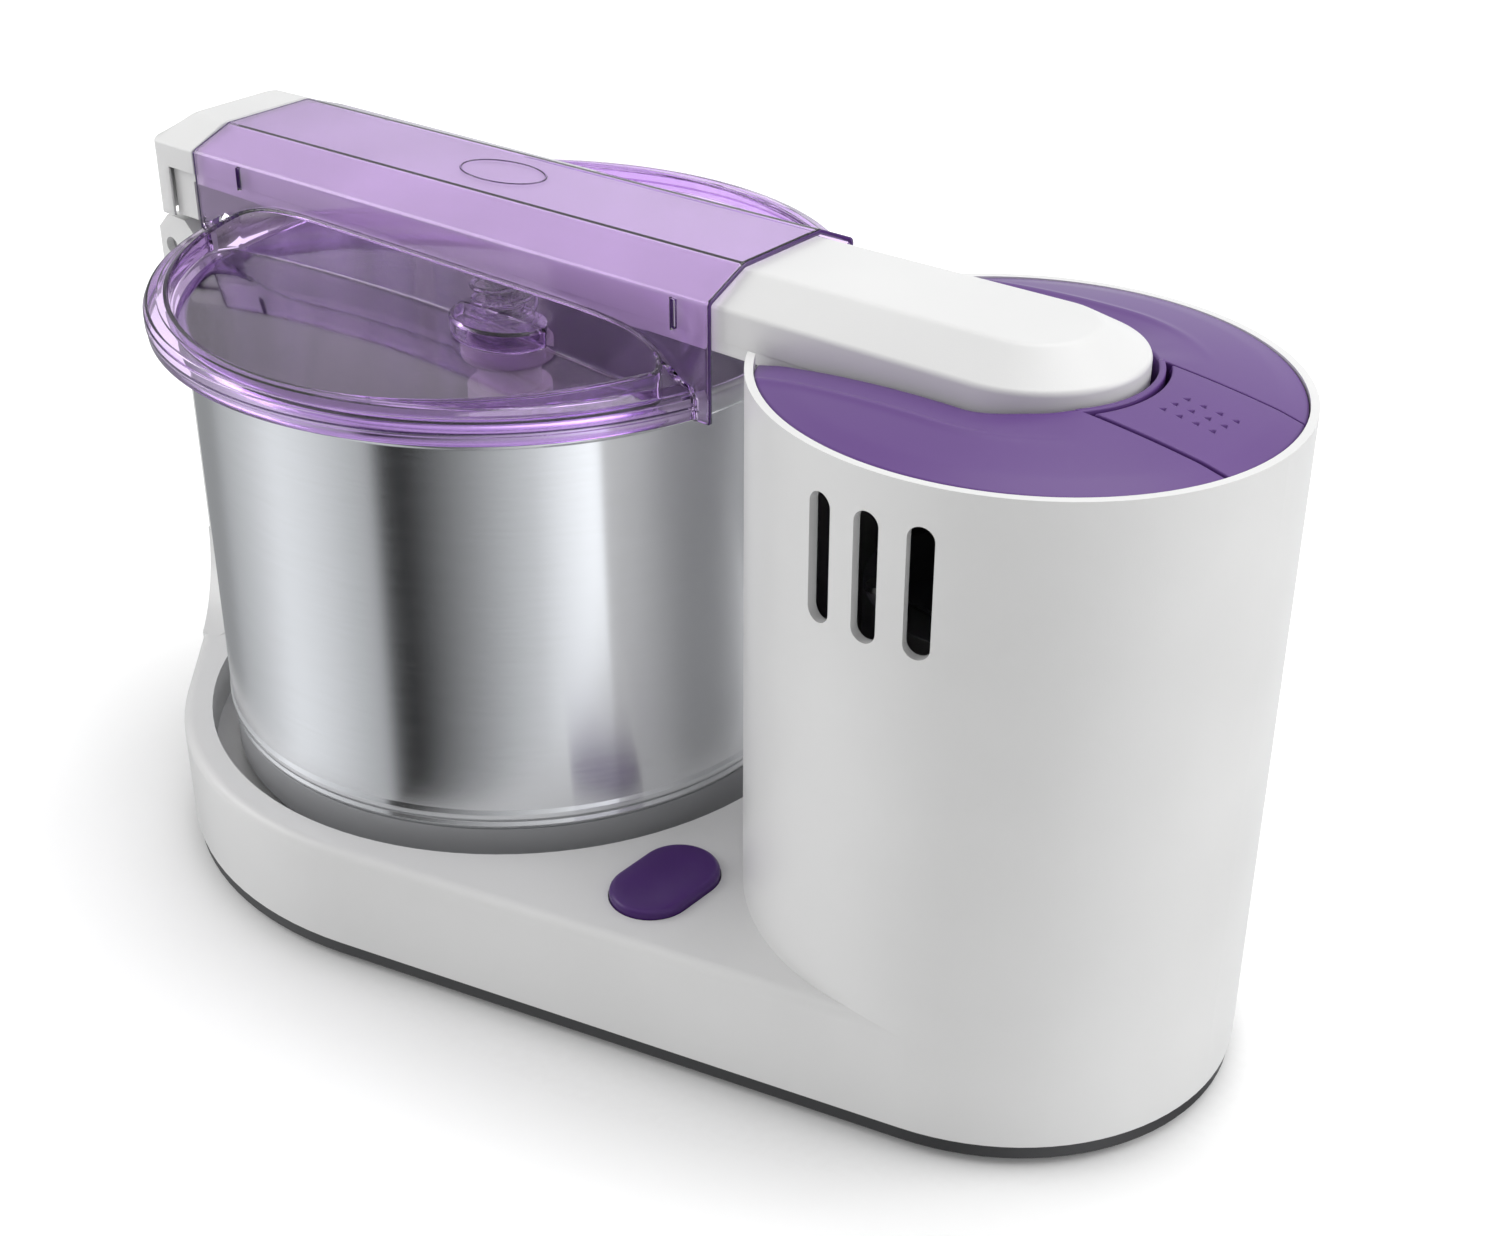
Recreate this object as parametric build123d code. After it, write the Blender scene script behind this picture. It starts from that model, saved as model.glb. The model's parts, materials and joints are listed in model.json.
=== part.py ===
from build123d import *
import math
import os

# A tabletop wet grinder, in millimetres: a steel drum turns on a stone floor under two conical
# stones, beside a motor tower, and a hinged arm with a clear lid holds the stones down.
# The pieces are modelled about the drum's axis, with +X towards the tower, -Y to the front
# and heights above the table. They are moved to the middle of the footprint when written.

# Drum, with the base round it
drum_radius = 105.0
drum_wall = 1.2
drum_bottom_height = 49.5
drum_depth = 145.8
drum_rim_height = drum_bottom_height + drum_depth
drum_rim_depth = 8.0
drum_rim_overhang = 3.0
body_wall = 3.0
body_bottom_height = 8.0
well_clearance = 7.8
well_radius = drum_radius + well_clearance
well_rim_width = 10.2
body_radius = well_radius + well_rim_width
deck_drop = 3.7
deck_height = drum_bottom_height - deck_drop
deck_edge_radius = 3.5
well_depth = 14.8
well_floor_height = deck_height - well_depth

# Motor tower
tower_half_length = 80.7
tower_half_width = 76.6
tower_drum_gap = 19.2
tower_distance = drum_radius + tower_drum_gap + tower_half_length
tower_rise = 26.7
tower_height = drum_rim_height + tower_rise

# Arm, whose heights follow from the tower's
arm_half_width = 32.0
arm_sink = 6.0
arm_bottom_height = tower_height - arm_sink
arm_seam_rise = 4.0
arm_seam_height = arm_bottom_height + arm_seam_rise
arm_side_rise = 9.5
arm_shoulder_height = arm_seam_height + arm_side_rise
arm_shoulder_rise = 7.5
arm_top_height = arm_shoulder_height + arm_shoulder_rise
arm_flat_half_width = 17.5
arm_end_overlap = 2.1
arm_end_offset = tower_distance + arm_end_overlap
arm_wall = 2.5
arm_corner_radius = 6.0
arm_end_shoulder_drop = 8.0
arm_end_run = 8.0
arm_seam_step = 0.35
hinge_block_depth = 14.0
hinge_block_height = arm_bottom_height - hinge_block_depth
hinge_block_length = 19.0
end_wall_length = 8.0
hinge_leg_half_width = 20.0
hinge_knuckle_radius = 6.0
hinge_plate = 3.0

# Hinge post and pin
post_margin = 22.0
post_reach = body_radius + post_margin
post_half_width = 29.0
post_corner_radius = 8.0
post_foot_radius = 26.0
post_depth = 36.0
post_drum_clearance = 8.5
pin_offset = 5.0
pin_drop = 15.0
pin_height = hinge_block_height - pin_drop
pin_radius = 3.0
pin_recess = 3.0
post_drop = 15.0
post_height = pin_height - post_drop
cheek_inner_half_width = 20.3
cheek_rise = 11.5
cheek_top_height = pin_height + cheek_rise
cheek_overhang = 1.0
cheek_shoulder = 5.5
cheek_back_run = 15.0
arm_end_setback = 7.0
arm_left_reach = post_reach - arm_end_setback

# Lid
lid_overhang = 12.5
lid_radius = drum_radius + lid_overhang
lid_skirt_drop = 1.8
lid_skirt_height = drum_rim_height - lid_skirt_drop
lid_skirt_depth = 8.5
lid_flange_height = lid_skirt_height + lid_skirt_depth
lid_flange_drop = 1.2
lid_wall = 2.0
lid_land_rise = 14.5
lid_land_height = lid_flange_height + lid_land_rise
lid_land_flat_radius = 45.0
lid_land_setback = 4.5
lid_land_edge_radius = lid_radius - lid_land_setback
lid_land_edge_rise = 2.0
lid_land_edge_height = lid_flange_height + lid_land_edge_rise
lid_panel_rise = 1.6
lid_panel_height = lid_flange_height + lid_panel_rise
lid_panel_fall = 5.6
lid_panel_edge_height = lid_panel_height - lid_panel_fall
lid_panel_setback = 10.5
lid_panel_edge_radius = lid_radius - lid_panel_setback
lid_pocket_setback = 8.5
lid_pocket_radius = lid_radius - lid_pocket_setback
lid_pocket_corner_radius = 17.0
lid_tunnel_clearance = 3.0
lid_tunnel_half_width = arm_half_width + lid_tunnel_clearance
lid_tunnel_cover = 2.5
lid_tunnel_shoulder_height = arm_shoulder_height + lid_tunnel_cover
lid_tunnel_top_height = arm_top_height + lid_tunnel_cover
lid_tunnel_flat_growth = 0.8
lid_tunnel_flat_half_width = arm_flat_half_width + lid_tunnel_flat_growth
lid_tunnel_overhang = 0.5
lid_tunnel_reach = lid_radius + lid_tunnel_overhang
lid_lug_offset = 35.5
lid_lug_half_length = 18.5
lid_lug_depth = 15.0
lid_lug_rise = 0.5
lid_lug_height = lid_land_height + lid_lug_rise
lid_slot_left_setback = 27.5
lid_slot_left = lid_radius - lid_slot_left_setback
lid_slot_right_setback = 10.5
lid_slot_right = lid_radius - lid_slot_right_setback
lid_slot_width = 2.0
lid_slot_rise = 2.5
lid_slot_bottom_height = arm_bottom_height + lid_slot_rise
lid_slot_margin = 1.0
lid_slot_top_height = lid_tunnel_shoulder_height - lid_slot_margin

# Top cover, arm trough and release pad
cover_inset = 2.8
cover_thickness = 2.6
cover_rise = 4.0
cover_crown_height = tower_height + cover_rise
cover_crown_radius = 762.0
cover_skirt_depth = 7.5
cover_skirt_height = tower_height - cover_skirt_depth
trough_clearance = 2.0
trough_wall = 2.0
trough_floor_gap = 1.0
trough_floor_height = arm_bottom_height - trough_floor_gap
pad_half_width = 21.5
pad_gap = 0.5
pad_inner_gap = 3.0
pad_travel = 3.0
pad_lip = 1.6
pad_grip_pitch = 5.0
pad_grip_radius = 0.8
pad_grip_depth = 0.6
pad_grip_start = 45.6
pad_grip_offset = tower_distance + pad_grip_start
pad_grip_columns = 4
pad_grip_rows = 3

# Latch under the cover
hook_start = 21.1
hook_offset = tower_distance + hook_start
hook_thickness = 4.0
hook_half_width = 6.0
hook_barb = 3.8
hook_barb_height = 3.5
hook_length = 24.0
hook_bottom_height = arm_bottom_height - hook_length
catch_gap = 0.5
catch_rise = 1.3
catch_bottom_height = hook_bottom_height + hook_barb_height + catch_rise
catch_thickness = 4.2
catch_half_width = 5.0
catch_length = 22.0
catch_bore_radius = 2.4
catch_bore_depth = 6.5
catch_bore_rise = 3.5
catch_bore_height = catch_bottom_height + catch_bore_rise
ramp_rise = 11.0
frame_plate = 2.5
frame_half_width = 26.0
frame_setback = 17.6
frame_reach = tower_distance + tower_half_length - frame_setback
frame_setout = 31.1
frame_start = tower_distance + frame_setout

# Power button
power_button_setout = 0.2
power_button_offset = tower_distance - tower_half_length - power_button_setout
power_button_setback = 65.0
power_button_width = 26.6
power_button_length = 40.0
power_button_rise = 3.0
power_button_wall = 2.0
power_button_lip = 1.6

# Drive
motor_shaft_radius = 4.0
spindle_radius = 8.0
pulley_setback = 17.0
large_pulley_radius = drum_radius - pulley_setback
small_pulley_radius = 10.5
pulley_width = 12.0
pulley_drop = 7.0
pulley_bottom_height = well_floor_height - pulley_drop - pulley_width
pulley_flange = 4.0
pulley_flange_thickness = 1.2
belt_thickness = 3.0
belt_width = 9.0
motor_radius = 44.0
motor_bracket_lift = 67.0
motor_bracket_height = body_bottom_height + motor_bracket_lift
motor_bracket_thickness = 3.0
bell_length = 17.0
bell_wall = 3.0
stator_length = 44.0
stator_depth = 19.5
stator_bore_radius = motor_radius - stator_depth
air_gap = 0.5
rotor_radius = stator_bore_radius - air_gap
fan_radius = 40.0
fan_lift = 6.0
fan_width = 16.0
fan_blades = 9

# Grinding stones and their bracket
stone_floor_thickness = 17.3
stone_floor_clearance = 3.0
stone_floor_radius = drum_radius - stone_floor_clearance
cone_half_angle = 28.0
cone_inner_distance = 26.0
cone_wall_clearance = 15.0
cone_outer_distance = drum_radius - cone_wall_clearance
stone_bore_radius = 8.0
axle_radius = 4.0
bush_flange = 1.2
centre_pin_radius = 6.0
bracket_cap_drop = 15.3
bracket_cap_height = drum_rim_height - bracket_cap_drop
centre_pin_drop = 9.0
centre_pin_height = bracket_cap_height - centre_pin_drop
bracket_cap_radius = 16.0
bracket_sleeve_radius = 11.0

# Fits and shared small sizes
running_clearance = 0.05
seat_gap = 0.3
belt_gap = 0.3
overrun = 1.0
edge_break = 1.0
screw_radius = 1.6
screw_head_radius = 3.2
screw_head_height = 2.0
boss_radius = 4.5
half = 0.5
full_turn = 360.0
half_turn = 180.0
quarter_turn = 90.0
parts_folder = "parts"

# Places that follow from the sizes above
footprint_left = post_reach + cheek_overhang
footprint_shift = -(tower_distance + tower_half_length - footprint_left) * half
pin_x = -(post_reach - pin_offset)
stone_top_height = drum_bottom_height + drum_wall + stone_floor_thickness
well_outer_radius = well_radius + body_wall
pulley_top_height = pulley_bottom_height + pulley_width
deck_underside = deck_height - body_wall


def prism(sketch, low, high):
    """A flat outline carried straight up from one height to another."""
    return extrude(Pos(0, 0, low) * sketch, amount=high - low)


def disc(radius, low, high, x=0.0, y=0.0):
    return prism(Pos(x, y) * Circle(radius), low, high)


def ring(outer, inner, low, high, x=0.0, y=0.0):
    return disc(outer, low, high, x, y) - disc(inner, low - overrun, high + overrun, x, y)


def block(x_low, x_high, y_low, y_high, z_low, z_high):
    size = (x_high - x_low, y_high - y_low, z_high - z_low)
    middle = ((x_low + x_high) * half, (y_low + y_high) * half, (z_low + z_high) * half)
    return Pos(*middle) * Box(*size)


def side_prism(points, y_low, y_high):
    """An outline in X and Z carried along Y."""
    outline = make_face(Polyline(*[(x, 0, z) for x, z in points], close=True))
    solid = extrude(outline, amount=y_high - y_low, dir=(0, 1, 0))
    return Pos(0, y_low, 0) * solid


def cross_prism(points, x_low, x_high):
    """An outline in Y and Z carried along X."""
    outline = make_face(Polyline(*[(0, y, z) for y, z in points], close=True))
    solid = extrude(outline, amount=x_high - x_low, dir=(1, 0, 0))
    return Pos(x_low, 0, 0) * solid


def turned(points, x=0.0, y=0.0):
    """An outline in radius and height turned a full turn about a vertical axis."""
    outline = make_face(Polyline(*[(r, 0, z) for r, z in points], close=True))
    return Pos(x, y) * revolve(outline, axis=Axis.Z, revolution_arc=full_turn)


def both_sides(solid):
    return solid + mirror(solid, about=Plane.XZ)


def around(count, radius, start=0.0):
    """Places evenly spaced on a circle about the drum's axis."""
    turns = [math.radians(start + full_turn * i / count) for i in range(count)]
    return [(radius * math.cos(turn), radius * math.sin(turn)) for turn in turns]


def screw(length, radius=screw_radius, head=screw_head_radius, height=screw_head_height):
    """A screw that points up, with its head's underside at the origin."""
    return disc(radius, 0, length) + disc(head, -height, 0)


def coil_arcs(radius, climb, turns):
    """A helix drawn as tangent arcs, two for each half turn."""
    arcs = []
    halves = turns * 2
    slope = climb / (turns * math.tau)
    for step in range(halves):
        ends = []
        for place in (step, step + 1):
            cosine = math.cos(math.pi * place)
            sine = math.sin(math.pi * place)
            point = Vector(radius * cosine, radius * sine, climb * place / halves)
            heading = Vector(-radius * sine, radius * cosine, slope).normalized()
            ends.append((point, heading))
        (start, leaving), (finish, arriving) = ends
        chord = finish - start
        spread = (1 - leaving.dot(arriving)) * 2
        along = chord.dot(leaving + arriving)
        reach = (math.sqrt(along ** 2 + spread * chord.dot(chord)) - along) / spread
        first_handle = start + leaving * reach
        second_handle = finish - arriving * reach
        middle = (first_handle + second_handle) * half
        arcs.append(TangentArc(start, middle, tangent=leaving))
        arcs.append(TangentArc(middle, finish, tangent=second_handle - first_handle))
    return arcs


def least_gap(arcs, wire):
    """The smallest space between two turns, measured on points along the arcs."""
    samples = 8
    points = [arc @ (index / samples) for arc in arcs for index in range(samples)]
    half_way = samples * 2
    spaces = [
        (first - second).length
        for index, first in enumerate(points)
        for second in points[index + half_way :]
    ]
    return min(spaces) - wire * 2


def coil_spring(radius, wire, low, high, turns):
    """A coil spring standing on end between two heights, as one unbroken tube."""
    climb = high - low - wire * 2
    arcs = coil_arcs(radius, climb, turns)
    start = Plane(origin=arcs[0] @ 0, z_dir=arcs[0] % 0)
    spring = sweep(start * Circle(wire), path=Wire(arcs))
    print("least gap between the turns", round(least_gap(arcs, wire), 2))
    return Pos(0, 0, low + wire) * spring


def side_turn(inset):
    """The direction that the base's straight side between drum and tower faces."""
    radius = body_radius - inset
    long_axis = tower_half_length - inset
    short_axis = tower_half_width - inset
    spread = tower_distance ** 2 - long_axis ** 2 + short_axis ** 2
    product = radius * tower_distance
    rest = radius ** 2 - short_axis ** 2
    return math.acos((product - math.sqrt(product ** 2 - spread * rest)) / spread)


def footprint(inset):
    """The base's outline: hinge post, drum circle and tower ellipse joined by tangent lines."""
    corner = max(post_corner_radius - inset, inset)
    corner_x = -(post_reach - inset - corner)
    corner_y = -(post_half_width - inset - corner)
    radius = body_radius - inset
    long_axis = tower_half_length - inset
    short_axis = tower_half_width - inset
    reach = math.hypot(corner_x, corner_y)
    bearing = math.atan2(-corner_y, -corner_x)
    post_turn = bearing - math.acos((corner - radius) / reach)
    tower_turn = -side_turn(inset)
    ellipse_turn = math.atan2(short_axis * math.sin(tower_turn), long_axis * math.cos(tower_turn))
    post_degrees = math.degrees(post_turn)
    tower_degrees = math.degrees(tower_turn)
    ellipse_degrees = math.degrees(ellipse_turn)
    corner_arc = CenterArc((corner_x, corner_y), corner, -half_turn, post_degrees + half_turn)
    drum_arc = CenterArc((0, 0), radius, post_degrees, tower_degrees - post_degrees)
    tower_centre = (tower_distance, 0)
    tower_arc = EllipticalCenterArc(
        tower_centre, long_axis, short_axis, start_angle=ellipse_degrees, arc_size=-ellipse_degrees
    )
    front = Curve() + [
        Line((-(post_reach - inset), 0), corner_arc @ 0),
        corner_arc,
        Line(corner_arc @ 1, drum_arc @ 0),
        drum_arc,
        Line(drum_arc @ 1, tower_arc @ 0),
        tower_arc,
    ]
    return make_face(front + mirror(front, about=Plane.XZ))


def tower_outline(inset):
    return Pos(tower_distance, 0) * Ellipse(tower_half_length - inset, tower_half_width - inset)


def crown(drop):
    """The ball whose cap is the top cover's gentle dome."""
    centre_height = cover_crown_height - drop - cover_crown_radius
    return Pos(tower_distance, 0, centre_height) * Sphere(cover_crown_radius)


def arm_outline(offset, left=0.0):
    """The arm's plan near the tower: straight sides and a round end."""
    radius = arm_half_width + offset
    straight = Pos((left + arm_end_offset) * half, 0) * Rectangle(arm_end_offset - left, radius * 2)
    return straight + Pos(arm_end_offset, 0) * Circle(radius)


# Places of the screw bosses and of the pillars under the motor
base_boss_setback = 19.5
base_boss_radius = body_radius - base_boss_setback
base_boss_turns = (75.0, 145.0, 215.0, 285.0)
tower_boss_turns = (20.0, -20.0)
tower_boss_inset = 7.0
pillar_turns = (50.0, 130.0, 230.0, 310.0)
pillar_inset = 9.0
pillar_radius = 6.0


def tower_places(turns, inset):
    places = []
    for turn in turns:
        angle = math.radians(turn)
        x = tower_distance + (tower_half_length - inset) * math.cos(angle)
        y = (tower_half_width - inset) * math.sin(angle)
        places.append((x, y))
    return places


def base_places():
    places = []
    for turn in base_boss_turns:
        angle = math.radians(turn)
        places.append((base_boss_radius * math.cos(angle), base_boss_radius * math.sin(angle)))
    return places + tower_places(tower_boss_turns, tower_boss_inset)


# Vents in the tower's front wall
vent_turns = (-101.3, -89.2, -77.0)
vent_width = 8.0
vent_length = 39.5
vent_drop = 31.7
vent_middle_height = tower_height - vent_drop

# Base tray, feet and screws
tray_inset = 0.8
tray_depth = 5.0
tray_bottom_height = body_bottom_height - tray_depth
tray_floor = 2.2
foot_radius = 9.0
foot_sink = 1.0
foot_inset = 20.0
drum_foot_turns = (130.0, 230.0)
tower_foot_turns = (30.0, -30.0)
tray_top = tray_bottom_height + tray_floor

# Cover ledge, gland and button hole
ledge_depth = 3.5
ledge_thickness = 2.5
gland_lift = 22.0
gland_height = body_bottom_height + gland_lift
gland_setback = 54.9
gland_distance = tower_distance - gland_setback
gland_radius = 6.0
gland_flange = 3.0
gland_bore = 3.6
gland_length = 12.0
button_gap = 0.4


def cheek_outline():
    left = -(post_reach + cheek_overhang)
    return [
        (left, post_height - overrun),
        (left, cheek_top_height - cheek_shoulder),
        (left + cheek_shoulder, cheek_top_height),
        (left + cheek_back_run, cheek_top_height),
        (left + cheek_back_run + cheek_shoulder, cheek_top_height - cheek_shoulder),
        (left + cheek_back_run + cheek_shoulder, post_height - overrun),
    ]


def post_foot():
    """The concave sweep from the post's sides out to the deck."""
    outer = post_half_width + post_foot_radius
    low = deck_height - deck_edge_radius
    high = deck_height + post_foot_radius
    right = -(post_reach - post_depth)
    fill = block(-post_reach, right, -outer, -post_half_width + overrun, low, high)
    round_cut = Pos(-post_reach, -outer, high) * Rot(0, quarter_turn, 0)
    fill -= round_cut * Cylinder(post_foot_radius, post_reach)
    return both_sides(fill) & prism(footprint(0), low, high)


def hinge_post():
    """The post with its two cheeks and its foot, cut back round the drum."""
    plan = Pos(-(post_reach - post_depth * half), 0) * Rectangle(post_depth, post_half_width * 2)
    corners = plan.vertices().sort_by(Axis.X)[:2]
    post = prism(fillet(corners, post_corner_radius), body_bottom_height, post_height)
    cheek = side_prism(cheek_outline(), -post_half_width, -cheek_inner_half_width)
    post += both_sides(cheek) + post_foot()
    post -= disc(drum_radius + post_drum_clearance, deck_height, pin_height * 2)
    bore = Pos(pin_x, 0, pin_height) * Rot(quarter_turn, 0, 0)
    bore = bore * Cylinder(pin_radius + running_clearance, post_reach)
    return post - bore


def stadium(width, length):
    """A slot with round ends, long side along Y."""
    return Rot(0, 0, quarter_turn) * SlotOverall(length, width)


def make_body_shell():
    skirt = prism(footprint(0), body_bottom_height, deck_height)
    top_edges = skirt.faces().sort_by(Axis.Z)[-1].edges()
    skirt = fillet(top_edges, deck_edge_radius)
    shell = skirt + prism(tower_outline(0), body_bottom_height, tower_height) + hinge_post()
    well_cup = disc(well_outer_radius, well_floor_height - body_wall, deck_height)
    hollow = prism(footprint(body_wall), body_bottom_height - overrun, deck_underside) - well_cup
    shell -= hollow
    shell -= prism(tower_outline(body_wall), body_bottom_height - overrun, tower_height + overrun)
    post_hollow = block(
        -(post_reach - body_wall),
        -(well_outer_radius + body_wall),
        -(post_half_width - body_wall),
        post_half_width - body_wall,
        deck_underside - overrun,
        post_height - body_wall - body_wall,
    )
    shell -= post_hollow
    shell -= disc(well_radius, well_floor_height, tower_height)
    for x, y in base_places():
        shell += disc(boss_radius, tray_top, well_floor_height - overrun, x, y)
    for x, y in tower_places(pillar_turns, pillar_inset):
        shell += disc(pillar_radius, body_bottom_height, motor_bracket_height, x, y)
    ledge_low = cover_skirt_height - ledge_thickness
    ledge = prism(tower_outline(overrun), ledge_low, cover_skirt_height)
    shell += ledge - prism(tower_outline(body_wall + ledge_depth), ledge_low, cover_skirt_height)
    rebate = tower_outline(cover_inset - seat_gap)
    shell -= prism(rebate, cover_skirt_height, tower_height + overrun)
    notch_start = tower_distance - tower_half_length - overrun
    notch_half = arm_half_width + trough_clearance + trough_wall + seat_gap
    notch = block(
        notch_start,
        notch_start + arm_half_width,
        -notch_half,
        notch_half,
        trough_floor_height - trough_wall - seat_gap,
        tower_height + overrun,
    )
    shell -= notch
    vent = SlotOverall(vent_length, vent_width)
    for turn in vent_turns:
        cutter = extrude(Plane.YZ * Rot(0, 0, quarter_turn) * vent, amount=tower_half_length * 2)
        shell -= Pos(tower_distance, 0, vent_middle_height) * Rot(0, 0, turn) * cutter
    hole = stadium(power_button_width + button_gap * 2, power_button_length + button_gap * 2)
    hole = Pos(power_button_offset, -power_button_setback) * hole
    shell -= prism(hole, deck_underside - overrun, deck_height + overrun)
    shell -= gland_place() * Cylinder(gland_radius, gland_length * 2)
    floor_hole = disc(bearing_tube_radius + running_clearance, 0, deck_height)
    shell -= floor_hole
    for x, y in around(bearing_bolts, bearing_bolt_circle, quarter_turn * half):
        shell -= disc(bearing_bolt_radius + running_clearance, 0, deck_height, x, y)
    for x, y in base_places():
        pilot = disc(screw_radius + running_clearance, 0, tray_top + base_screw_length, x, y)
        shell -= pilot
    for x, y in tower_places(pillar_turns, pillar_inset):
        top = motor_bracket_height
        shell -= disc(screw_radius + running_clearance, top - base_screw_length, top + overrun, x, y)
    return shell


def shell_pieces():
    """The housing parted at the deck: the base, and the tower and the hinge post that stand on it."""
    shell = make_body_shell()
    reach = tower_distance * 2
    upper = block(-reach, reach, -reach, reach, deck_height, reach)
    base = shell - upper
    tower = shell & block(drum_radius, reach, -reach, reach, deck_height, reach)
    post = shell & block(-reach, 0, -reach, reach, deck_height, reach)
    return base, tower, post


# Bearing of the spindle, in the well's floor
bearing_tube_radius = 20.0
bearing_bore_radius = 15.0
bearing_flange_radius = 38.0
bearing_flange_thickness = 3.5
bearing_drop = 5.0
bearing_bottom_height = well_floor_height - bearing_drop
bearing_rise = 12.0
bearing_top_height = well_floor_height + bearing_rise
bearing_width = 6.0
bearing_bolts = 4
bearing_bolt_circle = 31.0
bearing_bolt_radius = 2.0
bearing_bolt_head = 3.6
base_screw_length = 12.0


def make_bottom_plate():
    tray = prism(footprint(tray_inset), tray_bottom_height, body_bottom_height)
    tray -= prism(footprint(body_wall), tray_top, body_bottom_height + overrun)
    for x, y in base_places():
        tray -= disc(screw_radius + running_clearance, 0, body_bottom_height, x, y)
        tray -= disc(screw_head_radius + seat_gap, 0, tray_top - tray_floor * half, x, y)
        tray -= disc(boss_radius + seat_gap, tray_top, body_bottom_height + overrun, x, y)
    for x, y in foot_places():
        tray -= disc(foot_radius + running_clearance, 0, tray_bottom_height + foot_sink, x, y)
    return tray


def foot_places():
    places = []
    for turn in drum_foot_turns:
        angle = math.radians(turn)
        radius = body_radius - foot_inset
        places.append((radius * math.cos(angle), radius * math.sin(angle)))
    places += tower_places(tower_foot_turns, foot_inset)
    return places + [(tower_distance * half, 0.0)]


def make_rubber_feet():
    top = tray_bottom_height + foot_sink
    return [disc(foot_radius, 0, top, x, y) for x, y in foot_places()]


def make_base_screws():
    low = tray_top - tray_floor * half
    return [Pos(x, y, low) * screw(base_screw_length) for x, y in base_places()]


def gland_place():
    """A place on the base's rear side wall that looks straight out of it."""
    turn = side_turn(0)
    x = body_radius * math.cos(turn) + gland_distance * math.sin(turn)
    y = body_radius * math.sin(turn) - gland_distance * math.cos(turn)
    outward = (math.cos(turn), math.sin(turn), 0)
    return Plane(origin=(x, y, gland_height), z_dir=outward)


def make_cord_gland():
    """A short sleeve through the wall with a flange outside it."""
    middle = gland_flange - gland_length * half
    sleeve = Pos(0, 0, middle) * Cylinder(gland_radius - running_clearance, gland_length)
    flange = Pos(0, 0, gland_flange * half) * Cylinder(gland_radius + gland_flange, gland_flange)
    return gland_place() * (sleeve + flange - Cylinder(gland_bore, gland_length * 2))


def make_hinge_pin():
    length = (post_half_width - pin_recess) * 2
    pin = Rot(quarter_turn, 0, 0) * Cylinder(pin_radius, length)
    return Pos(pin_x, 0, pin_height) * pin


# Arm pieces

def arm_form(inset, low):
    """A long bar with bevelled shoulders, a square left end and a round right end."""
    side = arm_half_width - inset
    shoulder = arm_shoulder_height - inset * half
    top = arm_top_height - inset
    flat = arm_flat_half_width - inset * half
    left = -(arm_left_reach - inset)
    profile = [(-side, low), (-side, shoulder), (-flat, top), (flat, top), (side, shoulder)]
    bar = cross_prism(profile + [(side, low)], left, arm_end_offset)
    plan = Pos((left + arm_end_offset) * half, 0) * Rectangle(arm_end_offset - left, side * 2)
    corners = plan.vertices().sort_by(Axis.X)[:2]
    bar &= prism(fillet(corners, arm_corner_radius), low, top)
    end_cut = [
        (left - overrun, shoulder - arm_end_shoulder_drop),
        (left, shoulder - arm_end_shoulder_drop),
        (left + arm_end_run, top),
        (left + arm_end_run, top + overrun),
        (left - overrun, top + overrun),
    ]
    bar -= side_prism(end_cut, -arm_half_width - overrun, arm_half_width + overrun)
    end = turned([(0, low), (side, low), (side, shoulder), (flat, top), (0, top)], arm_end_offset)
    return bar + end


def make_arm_top():
    arm = arm_form(0, arm_seam_height) - arm_form(arm_wall, arm_seam_height - overrun)
    left = -arm_left_reach
    plan = Pos(left + arm_half_width, 0) * Rectangle(arm_half_width * 2, arm_half_width * 2)
    corners = plan.vertices().sort_by(Axis.X)[:2]
    skin = prism(fillet(corners, arm_corner_radius), hinge_block_height, arm_seam_height)
    inner = Pos(arm_wall, 0, 0) * Pos(left + arm_half_width, 0)
    inner = inner * Rectangle(arm_half_width * 2, (arm_half_width - arm_wall) * 2)
    skin -= prism(inner, hinge_block_height - overrun, arm_seam_height + overrun)
    keep = block(
        left - overrun,
        left + end_wall_length,
        -arm_half_width - overrun,
        arm_half_width + overrun,
        hinge_block_height - overrun,
        arm_seam_height + overrun,
    )
    return arm + (skin & keep)


def make_arm_lower():
    """The arm's underside: a shallow tray with the deeper block over the hinge."""
    side = arm_half_width - arm_seam_step
    left = -(arm_left_reach - end_wall_length - seat_gap)
    plan = Pos((left + arm_end_offset) * half, 0) * Rectangle(arm_end_offset - left, side * 2)
    plan += Pos(arm_end_offset, 0) * Circle(side)
    tray = prism(plan, arm_bottom_height, arm_seam_height)
    inner_side = side - arm_wall
    inner_left = left + arm_wall
    hollow = Pos((inner_left + arm_end_offset) * half, 0)
    hollow = hollow * Rectangle(arm_end_offset - inner_left, inner_side * 2)
    hollow += Pos(arm_end_offset, 0) * Circle(inner_side)
    block_end = -(arm_left_reach - hinge_block_length)
    tray += block(left, block_end, -side, side, hinge_block_height, arm_seam_height)
    tray -= prism(hollow, arm_bottom_height + arm_wall, arm_seam_height + overrun)
    tray -= block(
        left + leg_block_wall,
        block_end - leg_block_wall,
        -inner_side,
        inner_side,
        hinge_block_height + arm_wall,
        arm_seam_height + overrun,
    )
    tray -= disc(guide_radius + running_clearance, 0, arm_top_height)
    for x, y in leg_screw_places():
        tray -= disc(screw_radius + running_clearance, 0, arm_top_height, x, y)
    tray -= disc(screw_radius + running_clearance, 0, arm_top_height, hook_screw_x, 0)
    return tray


leg_screw_spread = 10.0
leg_screw_head = 2.7
leg_block_wall = 1.8
leg_screw_setback = (end_wall_length + seat_gap + hinge_block_length) * half
guide_radius = 9.5
guide_bore_radius = 6.5
guide_flange_radius = 14.0
guide_flange_thickness = 2.0
hook_foot_length = 18.0
hook_foot_thickness = 3.0
hook_screw_x = hook_offset - hook_foot_length * half


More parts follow.
